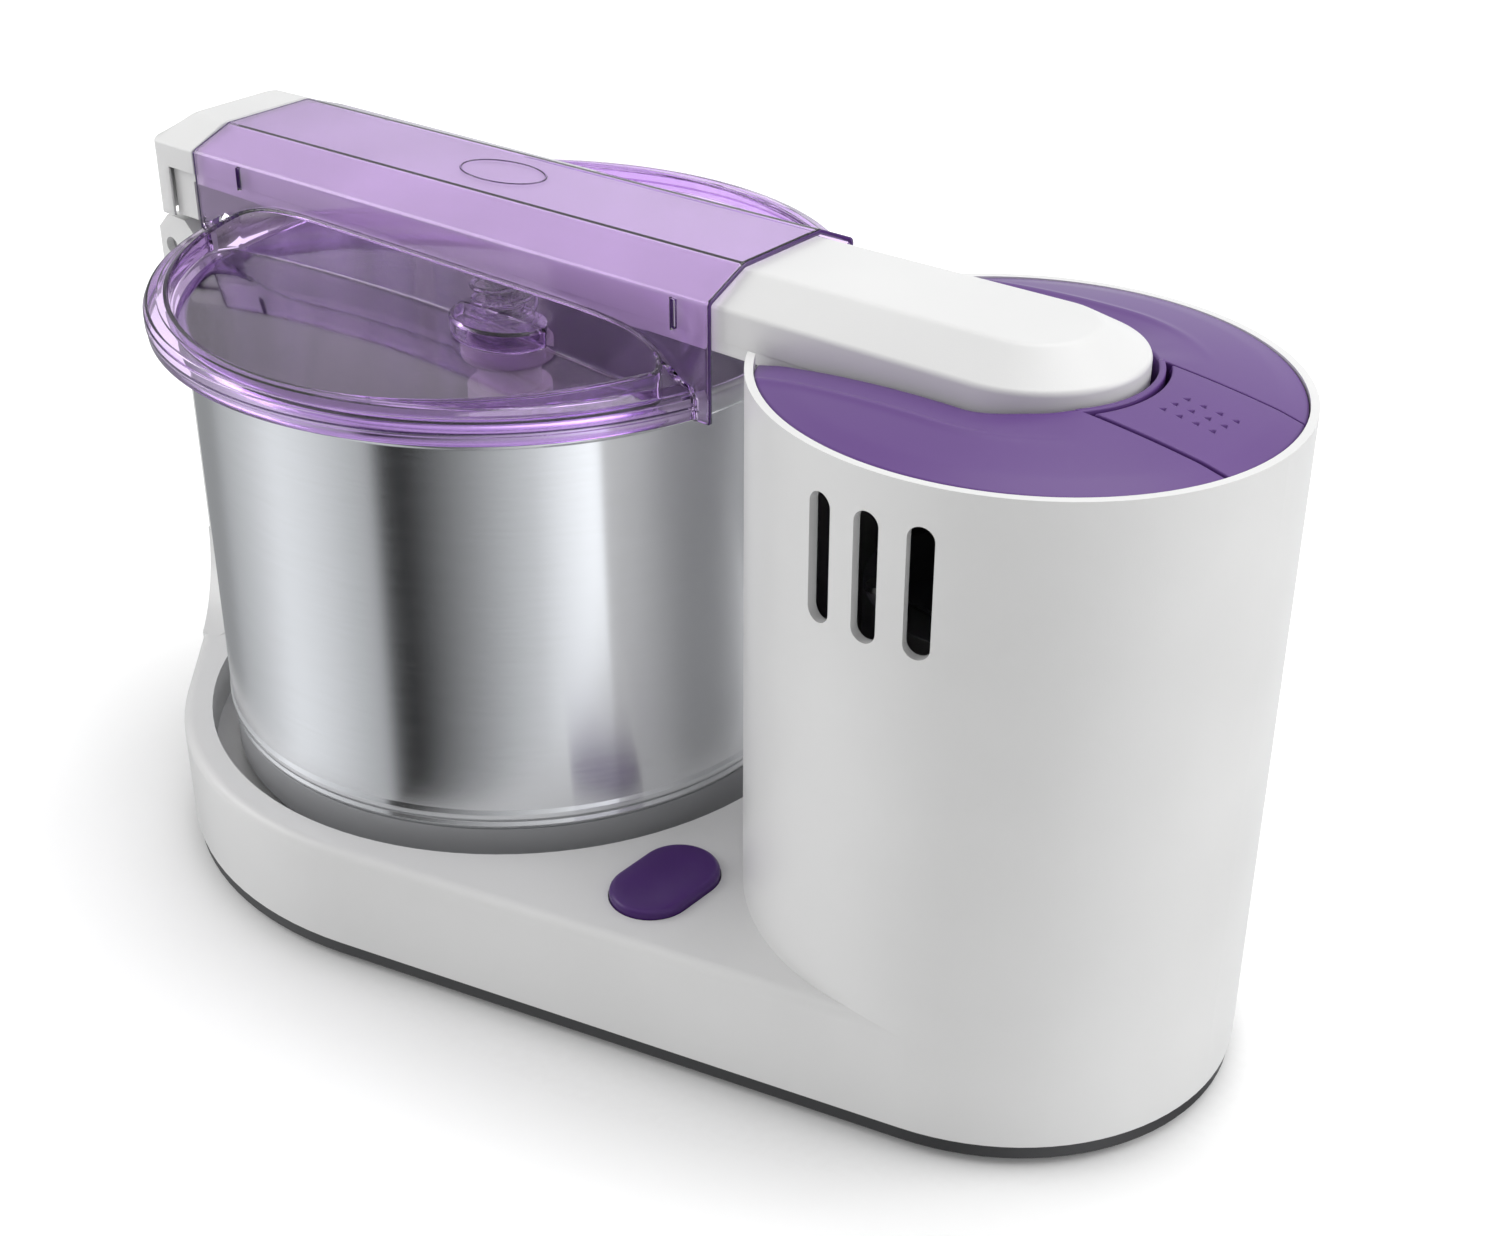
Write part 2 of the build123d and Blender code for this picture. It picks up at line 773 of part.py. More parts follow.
def leg_screw_places():
    x = -(arm_left_reach - leg_screw_setback)
    return [(x, -leg_screw_spread), (x, leg_screw_spread)]


def make_hinge_leg():
    """The steel leg under the arm's hinge block, with the knuckle on the pin."""
    knuckle = Rot(quarter_turn, 0, 0) * Cylinder(hinge_knuckle_radius, hinge_leg_half_width * 2)
    leg = Pos(pin_x, 0, pin_height) * knuckle
    left = -(arm_left_reach - overrun - overrun)
    right = -(arm_left_reach - hinge_block_length + overrun)
    top = hinge_block_height
    web = [
        (pin_x - pin_offset, pin_height + pin_radius),
        (left, top - hinge_plate),
        (left, top),
        (right, top),
        (right, top - hinge_plate),
        (pin_x + hinge_knuckle_radius, pin_height),
        (pin_x, pin_height),
    ]
    leg += side_prism(web, -hinge_leg_half_width, hinge_leg_half_width)
    bore = Rot(quarter_turn, 0, 0)
    bore = bore * Cylinder(pin_radius + running_clearance, post_reach)
    leg -= Pos(pin_x, 0, pin_height) * bore
    for x, y in leg_screw_places():
        leg -= disc(screw_radius + running_clearance, pin_height + pin_radius, top + overrun, x, y)
    return leg


def make_arm_screws():
    """Two screws hold the leg and one holds the hook, with their heads inside the arm."""
    floor = hinge_block_height + arm_wall
    down = Rot(half_turn, 0, 0) * screw(arm_wall + hinge_plate, screw_radius, leg_screw_head)
    screws = [Pos(x, y, floor) * down for x, y in leg_screw_places()]
    hook_floor = arm_bottom_height + arm_wall
    hook_down = Rot(half_turn, 0, 0) * screw(arm_wall + hook_foot_thickness)
    return screws + [Pos(hook_screw_x, 0, hook_floor) * hook_down]


def make_latch_hook():
    """A foot screwed under the arm, a leg down through the trough and a barb to the right."""
    top = arm_bottom_height
    slot_floor = top - hook_foot_thickness
    foot = block(
        hook_offset - hook_foot_length, hook_offset, -hook_half_width, hook_half_width, slot_floor, top
    )
    right = hook_offset + hook_thickness
    tip = right + hook_barb
    low = hook_bottom_height
    outline = [
        (hook_offset - overrun, top),
        (right, top),
        (right, low + hook_barb_height),
        (tip, low + hook_barb_height),
        (right, low),
        (hook_offset - overrun, low),
    ]
    hook = foot + side_prism(outline, -hook_half_width, hook_half_width)
    return hook - disc(screw_radius + running_clearance, low, top + overrun, hook_screw_x, 0)


def make_plunger_guide():
    """The flanged tube in the arm in which the pressure plunger slides."""
    low = arm_bottom_height
    high = arm_top_height - arm_wall - seat_gap
    flange_top = low + arm_wall + guide_flange_thickness
    guide = disc(guide_radius, low, high)
    guide += disc(guide_flange_radius, low + arm_wall, flange_top)
    return guide - disc(guide_bore_radius, low - overrun, high + overrun)


plunger_radius = 6.4
plunger_pad_radius = 14.0
plunger_pad_thickness = 4.0
plunger_travel = 5.0
pressure_spring_radius = 10.5
pressure_spring_wire = 0.9
pressure_spring_turns = 6
cap_clearance = 0.3


def make_pressure_plunger():
    low = bracket_cap_height + cap_clearance
    high = arm_top_height - arm_wall - plunger_travel - overrun
    pad = disc(plunger_pad_radius, low, low + plunger_pad_thickness)
    return pad + disc(plunger_radius, low, high)


def make_pressure_spring():
    low = bracket_cap_height + cap_clearance + plunger_pad_thickness + cap_clearance
    high = arm_bottom_height - cap_clearance
    return coil_spring(
        pressure_spring_radius, pressure_spring_wire, low, high, pressure_spring_turns
    )


# Lid

def land_profile(drop):
    """Heights of the lid's land: flat near the middle and falling ever faster to the rim."""
    steps = 8
    fall = lid_land_height - lid_land_edge_height
    points = [(0.0, lid_land_height - drop)]
    for i in range(steps + 1):
        share = i / steps
        radius = lid_land_flat_radius + (lid_land_edge_radius - lid_land_flat_radius) * share
        points.append((radius, lid_land_height - drop - fall * share ** 3))
    return points


def lid_bell(inset):
    """The lid's round body as a full solid: the land, the rim flange and the skirt."""
    rim = lid_radius - inset
    points = land_profile(inset)
    points += [
        (rim - lid_flange_drop, lid_flange_height - inset),
        (rim, lid_flange_height - lid_flange_drop - inset),
        (rim, lid_skirt_height - inset),
        (0.0, lid_skirt_height - inset),
    ]
    return turned(points)


def lid_tunnel(inset, low):
    side = lid_tunnel_half_width - inset
    flat = lid_tunnel_flat_half_width - inset * half
    shoulder = lid_tunnel_shoulder_height - inset * half
    top = lid_tunnel_top_height - inset
    profile = [(-side, low), (-side, shoulder), (-flat, top), (flat, top), (side, shoulder)]
    reach = lid_tunnel_reach + inset
    return cross_prism(profile + [(side, low)], -reach, reach)


def panel_space(grow):
    """The space over the two sunk panels; grown by the wall, it is what the wall keeps."""
    radius = lid_pocket_radius + grow
    side = lid_tunnel_half_width - grow
    plan = Circle(radius) & (Pos(0, -radius - side) * Rectangle(radius * 2, radius * 2))
    plan = fillet(plan.vertices(), lid_pocket_corner_radius + grow)
    space = prism(plan, lid_skirt_height - lid_land_height, lid_tunnel_top_height + overrun)
    fall = lid_panel_height - lid_panel_edge_height
    ball = (lid_panel_edge_radius ** 2 + fall ** 2) / (fall * 2)
    floor = Pos(0, 0, lid_panel_height - grow - ball) * Sphere(ball)
    return both_sides(space - floor)


def lid_lug(inset):
    """The half oval lug against the tunnel's front wall."""
    plan = Ellipse(lid_lug_half_length - inset, lid_lug_depth - inset)
    plan = Pos(lid_lug_offset, -lid_tunnel_half_width) * plan
    return prism(plan, lid_skirt_height, lid_lug_height - inset)


def make_lid():
    front = block(
        -lid_radius, lid_radius, -lid_radius, -lid_tunnel_half_width, 0, lid_tunnel_top_height
    )
    lug_space = panel_space(lid_wall)
    outside = lid_bell(0) + lid_tunnel(0, lid_skirt_height)
    outside -= panel_space(0)
    outside += (lid_lug(0) & front) & panel_space(overrun)
    inside = lid_bell(lid_wall) + lid_tunnel(lid_wall, lid_skirt_height - overrun)
    inside -= lug_space
    inside += lid_lug(lid_wall) & panel_space(lid_wall + lid_wall) & front
    lid = outside - inside
    for x in (-lid_slot_left, lid_slot_right):
        slot = block(
            x - lid_slot_width * half,
            x + lid_slot_width * half,
            -lid_radius,
            lid_radius,
            lid_slot_bottom_height,
            lid_slot_top_height,
        )
        lid -= slot
    return lid


# Top cover, release pad and latch

def pad_opening(gap):
    """The plan of the release pad's opening, from the arm's end out to the rim."""
    reach = tower_distance + tower_half_length
    start = arm_end_offset
    length = reach - start
    strip = Pos(start + length * half, 0) * Rectangle(length, (pad_half_width - gap) * 2)
    inner = arm_half_width + trough_clearance + gap
    strip -= Pos(arm_end_offset, 0) * Circle(inner)
    return strip & tower_outline(cover_inset + gap * half)


def make_top_cover():
    cap = prism(tower_outline(cover_inset), cover_skirt_height, cover_crown_height) & crown(0)
    core = prism(
        tower_outline(cover_inset + cover_thickness), cover_skirt_height - overrun, cover_crown_height
    )
    cap -= core & crown(cover_thickness)
    left = tower_distance - tower_half_length
    wall_plan = arm_outline(trough_clearance + trough_wall, left) & tower_outline(cover_inset)
    floor_low = trough_floor_height - trough_wall
    trough = prism(wall_plan, floor_low, cover_crown_height) & crown(0)
    cover = cap + trough
    opening = arm_outline(trough_clearance, left - arm_half_width)
    cover -= prism(opening, trough_floor_height, cover_crown_height + overrun)
    pad_hole = pad_opening(0) - arm_outline(0, left)
    cover -= prism(pad_hole, trough_floor_height + seat_gap, cover_crown_height + overrun)
    slot = block(
        hook_offset - hook_foot_length - overrun,
        hook_offset + hook_thickness + hook_barb + overrun + overrun,
        -hook_half_width - overrun,
        hook_half_width + overrun,
        floor_low - overrun,
        trough_floor_height + overrun,
    )
    return cover - slot


frame_top = trough_floor_height - trough_wall


def make_latch_frame():
    """A U shaped frame under the cover, with two ribs beside the catch."""
    low = catch_bottom_height - seat_gap - frame_plate
    floor_high = low + frame_plate
    frame = block(frame_start, frame_reach, -frame_half_width, frame_half_width, low, floor_high)
    wall = block(
        frame_start,
        frame_reach,
        -frame_half_width,
        -frame_half_width + frame_plate,
        low,
        cover_crown_height,
    )
    frame += both_sides(wall & crown(cover_thickness))
    rib = block(
        frame_start,
        frame_reach,
        -catch_half_width - seat_gap - frame_plate,
        -catch_half_width - seat_gap,
        low,
        catch_bottom_height + catch_thickness + seat_gap,
    )
    frame += both_sides(rib)
    stop_half = catch_half_width + seat_gap
    stop_top = catch_bore_height + catch_bore_radius
    stop = block(frame_reach - frame_plate, frame_reach, -stop_half, stop_half, low, stop_top)
    frame += stop
    trough_end = disc(
        arm_half_width + trough_clearance + trough_wall, frame_top, cover_crown_height, arm_end_offset
    )
    return frame - trough_end


catch_tip = hook_offset + hook_thickness + hook_barb + catch_gap
catch_end = catch_tip + catch_length
catch_top = catch_bottom_height + catch_thickness
ramp_foot = catch_top + pad_travel + trough_clearance * half * half
ramp_gap = 0.3
ramp_leg_length = 7.0


def make_latch_catch():
    """A sliding bar whose left tip stands over the hook's barb, with a ramp for the pad's leg."""
    bar = block(
        catch_tip, catch_end, -catch_half_width, catch_half_width, catch_bottom_height, catch_top
    )
    high = catch_top + ramp_rise
    ramp = [
        (catch_end - ramp_rise, catch_top - overrun),
        (catch_end - ramp_rise, catch_top),
        (catch_end - overrun, high - overrun),
        (catch_end, high - overrun),
        (catch_end, catch_top - overrun),
    ]
    catch = bar + side_prism(ramp, -catch_half_width, catch_half_width)
    bore = Pos(catch_end, 0, catch_bore_height) * Rot(0, quarter_turn, 0)
    return catch - bore * Cylinder(catch_bore_radius, catch_bore_depth * 2)


def make_release_button():
    """The pad on the cover with a lip under the opening's sides and a ramped leg."""
    plan = pad_opening(pad_gap) - Pos(arm_end_offset, 0) * Circle(
        arm_half_width + trough_clearance + pad_inner_gap
    )
    low = trough_floor_height + pad_travel + seat_gap
    pad = prism(plan, low, cover_crown_height) & crown(0)
    pad -= crown(cover_thickness) & prism(pad_opening(pad_gap + cover_thickness), low, cover_crown_height)
    inner = arm_end_offset + arm_half_width + trough_clearance + trough_wall + pad_inner_gap
    lip = block(
        inner,
        frame_reach - frame_plate,
        -pad_half_width - pad_lip,
        pad_half_width + pad_lip,
        low + seat_gap,
        cover_crown_height,
    )
    lip_inner = pad_half_width - pad_gap - cover_thickness
    lip -= block(inner - overrun, frame_reach, -lip_inner, lip_inner, low, cover_crown_height)
    pad += lip & (crown(cover_thickness + seat_gap) - crown(cover_thickness * 2))
    grip_low = -pad_grip_pitch
    for column in range(pad_grip_columns):
        for row in range(pad_grip_rows):
            x = pad_grip_offset + column * pad_grip_pitch + row * pad_grip_radius
            y = grip_low + row * pad_grip_pitch
            high = cover_crown_height
            rise = ((x - tower_distance) ** 2 + y ** 2) / (cover_crown_radius * 2)
            surface = high - rise
            pad -= disc(pad_grip_radius, surface - pad_grip_depth, high + overrun, x, y)
    foot_x = catch_end - ramp_rise + (ramp_foot - catch_top) - ramp_gap * math.sqrt(2)
    leg_top = cover_crown_height
    leg = [
        (foot_x - ramp_leg_length * half, ramp_foot),
        (foot_x, ramp_foot),
        (foot_x + ramp_leg_length, ramp_foot + ramp_leg_length),
        (foot_x + ramp_leg_length, leg_top),
        (foot_x - ramp_leg_length * half, leg_top),
    ]
    pad += side_prism(leg, -catch_half_width, catch_half_width) & crown(overrun)
    return pad


release_spring_radius = 3.6
release_spring_wire = 0.45
release_spring_turns = 7
release_spring_spread = 14.0
release_spring_setout = 53.1
release_spring_x = tower_distance + release_spring_setout
catch_spring_radius = 1.8
catch_spring_wire = 0.3
catch_spring_turns = 5


def make_release_springs():
    low = catch_bottom_height - seat_gap
    outer = release_spring_radius + release_spring_wire
    reach_x = release_spring_x + outer - tower_distance
    reach = reach_x ** 2 + (release_spring_spread + outer) ** 2
    high = cover_crown_height - cover_thickness - reach / (cover_crown_radius * 2) - seat_gap
    spring = coil_spring(
        release_spring_radius, release_spring_wire, low, high, release_spring_turns
    )
    sides = (-release_spring_spread, release_spring_spread)
    return [Pos(release_spring_x, y, 0) * spring for y in sides]


def make_catch_spring():
    """The spring stands between the frame's stop and the catch's bore, which leaves it the travel."""
    left = catch_end - catch_bore_depth + pad_travel + seat_gap
    length = frame_reach - frame_plate - seat_gap - left
    spring = coil_spring(catch_spring_radius, catch_spring_wire, 0, length, catch_spring_turns)
    return Pos(left, 0, catch_bore_height) * Rot(0, quarter_turn, 0) * spring


# Power button and switch
switch_half_length = 12.0
switch_half_width = 10.0
switch_drop = 11.8
switch_top_height = deck_height - switch_drop
switch_depth = 10.0
switch_bottom_height = switch_top_height - switch_depth
switch_post_radius = 2.0
switch_ear = 5.0
power_spring_radius = 4.0
power_spring_wire = 0.4
power_spring_turns = 6


def make_power_button():
    """A domed oblong cap with a skirt through the deck and a lip under it."""
    top = deck_height + power_button_rise
    low = deck_underside - seat_gap - power_button_lip
    cap = prism(stadium(power_button_width, power_button_length), low, top)
    top_edges = cap.faces().sort_by(Axis.Z)[-1].edges()
    cap = fillet(top_edges, power_button_wall * half)
    lip_width = power_button_width + power_button_lip * 2
    lip_length = power_button_length + power_button_lip * 2
    cap += prism(stadium(lip_width, lip_length), low, low + power_button_lip)
    inner_width = power_button_width - power_button_wall * 2
    inner_length = power_button_length - power_button_wall * 2
    cap -= prism(stadium(inner_width, inner_length), low - overrun, top - power_button_wall)
    return Pos(power_button_offset, -power_button_setback) * cap


def make_switch_body():
    """The switch hangs from the deck on two ears beside the button."""
    x = power_button_offset
    y = -power_button_setback
    body = block(
        x - switch_half_width,
        x + switch_half_width,
        y - switch_half_length,
        y + switch_half_length,
        switch_bottom_height,
        switch_top_height,
    )
    outer = power_button_width * half + power_button_lip + overrun + overrun
    bridge = block(
        x - outer - power_button_wall,
        x + outer + power_button_wall,
        y - switch_ear,
        y + switch_ear,
        switch_top_height - body_wall,
        switch_top_height,
    )
    leg = block(
        x + outer,
        x + outer + power_button_wall,
        y - switch_ear,
        y + switch_ear,
        switch_top_height - body_wall,
        deck_underside,
    )
    other = block(
        x - outer - power_button_wall,
        x - outer,
        y - switch_ear,
        y + switch_ear,
        switch_top_height - body_wall,
        deck_underside,
    )
    post = disc(switch_post_radius, switch_top_height, switch_top_height + body_wall, x, y)
    return body + bridge + leg + other + post


def make_power_spring():
    high = deck_height + power_button_rise - power_button_wall - seat_gap
    spring = coil_spring(
        power_spring_radius, power_spring_wire, switch_top_height, high, power_spring_turns
    )
    return Pos(power_button_offset, -power_button_setback, 0) * spring


# Motor

bell_low = motor_bracket_height + motor_bracket_thickness
stator_low = bell_low + bell_length
stator_high = stator_low + stator_length
bell_high = stator_high + bell_length
fan_height = bell_high + fan_lift
winding_setback = 7.0
winding_radius = motor_radius - winding_setback
winding_length = 9.0
bearing_boss_radius = 10.0
bracket_hole_radius = 12.0
bracket_gap = 1.0
tie_bolt_setback = 3.5
tie_bolt_circle = motor_radius - tie_bolt_setback
tie_bolt_radius = 1.7
tie_bolts = 4
motor_axis = (tower_distance, 0.0)


def at_motor(solid):
    return Pos(*motor_axis) * solid


def tie_places():
    return around(tie_bolts, tie_bolt_circle, quarter_turn * half)


def make_motor_bracket():
    """A plate across the tower on four pillars, cut away at two sides for air."""
    low = motor_bracket_height
    cut_low = low - overrun
    cut_high = bell_low + overrun
    plate = prism(tower_outline(body_wall + bracket_gap), low, bell_low)
    plate -= at_motor(disc(bracket_hole_radius, cut_low, cut_high))
    window_half = motor_radius * half
    window_start = motor_radius + pillar_radius
    for side in (0.0, half_turn):
        window = block(window_start, tower_half_length, -window_half, window_half, cut_low, cut_high)
        plate -= at_motor(Rot(0, 0, side) * window)
    for x, y in tower_places(pillar_turns, pillar_inset):
        plate -= disc(screw_radius + running_clearance, cut_low, cut_high, x, y)
    for x, y in tie_places():
        plate -= at_motor(disc(tie_bolt_radius + running_clearance, cut_low, cut_high, x, y))
    return plate


def make_bracket_screws():
    down = Rot(half_turn, 0, 0) * screw(base_screw_length)
    return [Pos(x, y, bell_low) * down for x, y in tower_places(pillar_turns, pillar_inset)]


def motor_bell(low, high, closed_low):
    """A cup over one end of the stator, with the shaft's bearing boss in its floor."""
    floor_low = low if closed_low else high - bell_wall
    bell = ring(motor_radius, motor_radius - bell_wall, low, high)
    bell += disc(motor_radius, floor_low, floor_low + bell_wall)
    boss_low = low if closed_low else high - bell_wall * 2
    bell += disc(bearing_boss_radius, boss_low, boss_low + bell_wall * 2)
    for x, y in tie_places():
        bell += disc(tie_bolt_radius * 2, low, high, x, y) & disc(motor_radius, low, high)
    bell -= disc(motor_shaft_radius + running_clearance, low - overrun, high + overrun)
    for x, y in tie_places():
        bell -= disc(tie_bolt_radius + running_clearance, low - overrun, high + overrun, x, y)
    return at_motor(bell)


def make_motor_stator():
    stack = ring(motor_radius, stator_bore_radius, stator_low, stator_high)
    for x, y in tie_places():
        stack -= disc(tie_bolt_radius + running_clearance, 0, bell_high, x, y)
    return at_motor(stack)


def make_stator_windings():
    """The windings' two end turns, which stand out of the stator's slots."""
    inner = stator_bore_radius + bell_wall
    upper = ring(winding_radius, inner, stator_high, stator_high + winding_length)
    lower = ring(winding_radius, inner, stator_low - winding_length, stator_low)
    return [at_motor(fillet_rings(upper)), at_motor(fillet_rings(lower))]


def fillet_rings(solid):
    return fillet(solid.edges(), bell_wall * half * half)


def make_motor_tie_bolts():
    length = bell_high - motor_bracket_height
    down = Rot(half_turn, 0, 0) * screw(length, tie_bolt_radius)
    return [at_motor(Pos(x, y, bell_high) * down) for x, y in tie_places()]


def make_motor_rotor():
    bore = motor_shaft_radius + running_clearance
    return at_motor(ring(rotor_radius, bore, stator_low, stator_high))


def make_motor_shaft():
    low = pulley_bottom_height - pulley_flange_thickness * 2
    return at_motor(disc(motor_shaft_radius, low, fan_height + fan_width))


def make_cooling_fan():
    """A hub with flat blades under a thin top disc."""
    hub_radius = bearing_boss_radius
    high = fan_height + fan_width
    fan = disc(hub_radius, fan_height, high)
    fan += disc(fan_radius, fan_height, fan_height + pulley_flange_thickness)
    blade = block(
        hub_radius * half,
        fan_radius - overrun,
        -pulley_flange_thickness * half,
        pulley_flange_thickness * half,
        fan_height,
        high,
    )
    for index in range(fan_blades):
        fan += Rot(0, 0, full_turn * index / fan_blades) * blade
    fan -= disc(motor_shaft_radius + running_clearance, fan_height - overrun, high + overrun)
    return at_motor(fan)


def make_small_pulley():
    bore = motor_shaft_radius + running_clearance
    return at_motor(pulley(small_pulley_radius, bore, 0.0))


def pulley(radius, bore, web):
    """A flat belt pulley with two flanges."""
    low = pulley_bottom_height
    high = pulley_top_height
    flange = radius + pulley_flange
    wheel = disc(radius, low, high)
    wheel += disc(flange, low, low + pulley_flange_thickness)
    wheel += disc(flange, high - pulley_flange_thickness, high)
    if web > 0:
        hub = spindle_radius + web
        rim = radius - web
        middle = (low + high) * half
        wheel -= ring(rim, hub, middle + pulley_flange_thickness, high + overrun)
        wheel -= ring(rim, hub, low - overrun, middle - pulley_flange_thickness)
        hole_circle = (hub + rim) * half
        hole_radius = (rim - hub) * half - web * 2
        for x, y in around(pulley_holes, hole_circle):
            wheel -= disc(hole_radius, low, high, x, y)
    return wheel - disc(bore, low - overrun, high + overrun)


capacitor_radius = 12.5
capacitor_height = 62.0
capacitor_turn = 75.0
capacitor_terminal = 3.0
clip_thickness = 1.2
clip_height = 12.0


def capacitor_place():
    angle = math.radians(capacitor_turn)
    radius = motor_radius + capacitor_radius + clip_thickness * 2
    return (tower_distance + radius * math.cos(angle), radius * math.sin(angle))


def make_capacitor():
    x, y = capacitor_place()
    can = disc(capacitor_radius, bell_low, bell_low + capacitor_height, x, y)
    can = fillet(can.edges(), clip_thickness)
    top = bell_low + capacitor_height
    spread = capacitor_radius * half
    for side in (-spread, spread):
        can += disc(capacitor_terminal * half, top - overrun, top + capacitor_terminal, x + side, y)
    return can


def make_capacitor_clip():
    """A band round the capacitor that stands on the bracket."""
    x, y = capacitor_place()
    inner = capacitor_radius + running_clearance
    return ring(inner + clip_thickness, inner, bell_low, bell_low + clip_height, x, y)


# Belt drive, spindle and turntable

def belt_outline(radius_large, radius_small):
    """Two circles joined by their outer tangent lines."""
    turn = math.acos((radius_large - radius_small) / tower_distance)
    degrees = math.degrees(turn)
    large = CenterArc((0, 0), radius_large, degrees, full_turn - degrees * 2)
    small = CenterArc((tower_distance, 0), radius_small, -degrees, degrees * 2)
    loop = Curve() + [large, Line(large @ 1, small @ 0), small, Line(small @ 1, large @ 0)]
    return make_face(loop)


def make_drive_belt():
    inner = belt_outline(large_pulley_radius + belt_gap, small_pulley_radius + belt_gap)
    grow = belt_gap + belt_thickness
    outer = belt_outline(large_pulley_radius + grow, small_pulley_radius + grow)
    low = pulley_bottom_height + (pulley_width - belt_width) * half
    return prism(outer, low, low + belt_width) - prism(inner, low - overrun, low + belt_width + overrun)


def make_bearing_housing():
    """A flanged tube in the well's floor, with a shoulder between its two bearings."""
    low = bearing_bottom_height
    high = bearing_top_height
    flange_high = well_floor_height + bearing_flange_thickness
    housing = disc(bearing_tube_radius, low, high)
    housing += disc(bearing_flange_radius, well_floor_height, flange_high)
    housing -= disc(bearing_bore_radius - bearing_flange_thickness, low - overrun, high + overrun)
    pocket = bearing_bore_radius + running_clearance
    housing -= disc(pocket, low - overrun, low + bearing_width)
    housing -= disc(pocket, high - bearing_width, high + overrun)
    for x, y in around(bearing_bolts, bearing_bolt_circle, quarter_turn * half):
        housing -= disc(bearing_bolt_radius + running_clearance, low, high, x, y)
    return housing


def make_housing_bolts():
    high = well_floor_height + bearing_flange_thickness
    down = Rot(half_turn, 0, 0)
    bolt = down * screw(bearing_flange_thickness + body_wall, bearing_bolt_radius, bearing_bolt_head)
    places = around(bearing_bolts, bearing_bolt_circle, quarter_turn * half)
    return [Pos(x, y, high) * bolt for x, y in places]


def make_spindle_bearings():
    inner = spindle_radius + running_clearance
    low = bearing_bottom_height
    high = bearing_top_height
    first = ring(bearing_bore_radius, inner, low, low + bearing_width)
    second = ring(bearing_bore_radius, inner, high - bearing_width, high)
    return [first, second]


plate_radius = 55.0
plate_thickness = 3.0
plate_hub_radius = 13.0
plate_lug_circle = 42.0
plate_lug_radius = 4.0
plate_lugs = 3
base_web = 1.5
base_ring_height = 36.0
base_ring_wall = 3.0
base_ring_inset = 0.8
spindle_bottom_height = 9.5
pulley_web = 8.0
pulley_holes = 6


def make_large_pulley():
    return pulley(large_pulley_radius, spindle_radius + running_clearance, pulley_web)


def make_spindle():
    top = drum_bottom_height - base_web - plate_thickness
    return disc(spindle_radius, spindle_bottom_height, top)


def make_drive_plate():
    """The turntable on the spindle's end, with three lugs that turn the drum."""
    high = drum_bottom_height - base_web
    low = high - plate_thickness
    plate = disc(plate_radius, low, high)
    plate += disc(plate_hub_radius, bearing_top_height + seat_gap, low)
    plate -= disc(spindle_radius + running_clearance, bearing_top_height, low)
    for x, y in around(plate_lugs, plate_lug_circle):
        plate += disc(plate_lug_radius, high - overrun, drum_bottom_height, x, y)
    return plate


def make_drum_base():
    """The dark ring under the drum, with a web that sits on the drive plate."""
    outer = drum_radius - base_ring_inset
    web_low = drum_bottom_height - base_web
    base = ring(outer, outer - base_ring_wall, base_ring_height, drum_bottom_height)
    base += disc(outer - overrun, web_low, drum_bottom_height)
    collar = plate_radius + seat_gap
    base += ring(collar + base_ring_wall, collar, web_low - base_ring_wall, drum_bottom_height)
    for x, y in around(plate_lugs, plate_lug_circle):
        base -= disc(plate_lug_radius + running_clearance, 0, drum_rim_height, x, y)
    return base - disc(pin_stud_radius + running_clearance, 0, drum_rim_height)


pin_stud_radius = 5.0
pin_flange_radius = 11.0
pin_flange_thickness = 2.2


def make_drum():
    """A deep steel pan with a rolled rim."""
    low = drum_bottom_height
    inner = drum_radius - drum_wall
    rim_low = drum_rim_height - drum_rim_depth
    rim_out = drum_radius + drum_rim_overhang
    pan = disc(drum_radius, low, drum_rim_height - overrun)
    pan = fillet(pan.faces().sort_by(Axis.Z)[0].edges(), drum_wall)
    roll = disc(rim_out, rim_low, drum_rim_height)
    roll = fillet(roll.edges(), drum_rim_overhang - edge_break)
    pan += roll
    pan -= disc(inner, low + drum_wall, drum_rim_height + overrun)
    return pan - disc(pin_stud_radius + running_clearance, 0, drum_rim_height)


def make_base_stone():
    low = drum_bottom_height + drum_wall
    stone = disc(stone_floor_radius, low, stone_top_height)
    stone = chamfer(stone.faces().sort_by(Axis.Z)[-1].edges(), edge_break)
    return stone - disc(pin_stud_radius + running_clearance, 0, drum_rim_height)


def make_centre_pin():
    flange_high = stone_top_height + pin_flange_thickness
    pin = disc(pin_stud_radius, drum_bottom_height - base_web, stone_top_height)
    pin += disc(pin_flange_radius, stone_top_height, flange_high)
    shaft = disc(centre_pin_radius, flange_high, centre_pin_height)
    return pin + chamfer(shaft.faces().sort_by(Axis.Z)[-1].edges(), edge_break)


# Roller stones and their bracket

cone_angle = math.radians(cone_half_angle)
cone_sine = math.sin(cone_angle)
cone_cosine = math.cos(cone_angle)
stone_lift = 0.3
axle_start = 13.0
axle_boss_radius = 7.5
axle_boss_end = 22.0
axle_head_radius = 8.0
axle_head_length = 5.0
hub_gap = 0.3
scraper_sleeve_radius = 14.5
scraper_bar_drop = 45.3
scraper_bar_height = drum_rim_height - scraper_bar_drop
scraper_bar_depth = 6.0
scraper_bar_half_width = 4.0
scraper_blade_half_width = 8.0
scraper_blade_thickness = 4.0
scraper_wall_gap = 1.2
scraper_bottom_gap = 2.0
stem_cap_depth = 8.0


def on_axle(solid, rear):
    """Lays a solid made along +Z from the cones' common tip onto the front or rear axle."""
    apex = Pos(0, 0, stone_top_height + stone_lift)
    tilt = quarter_turn - cone_half_angle
    turn = half_turn if rear else 0.0
    return apex * Rot(0, 0, turn) * Rot(tilt, 0, 0) * solid


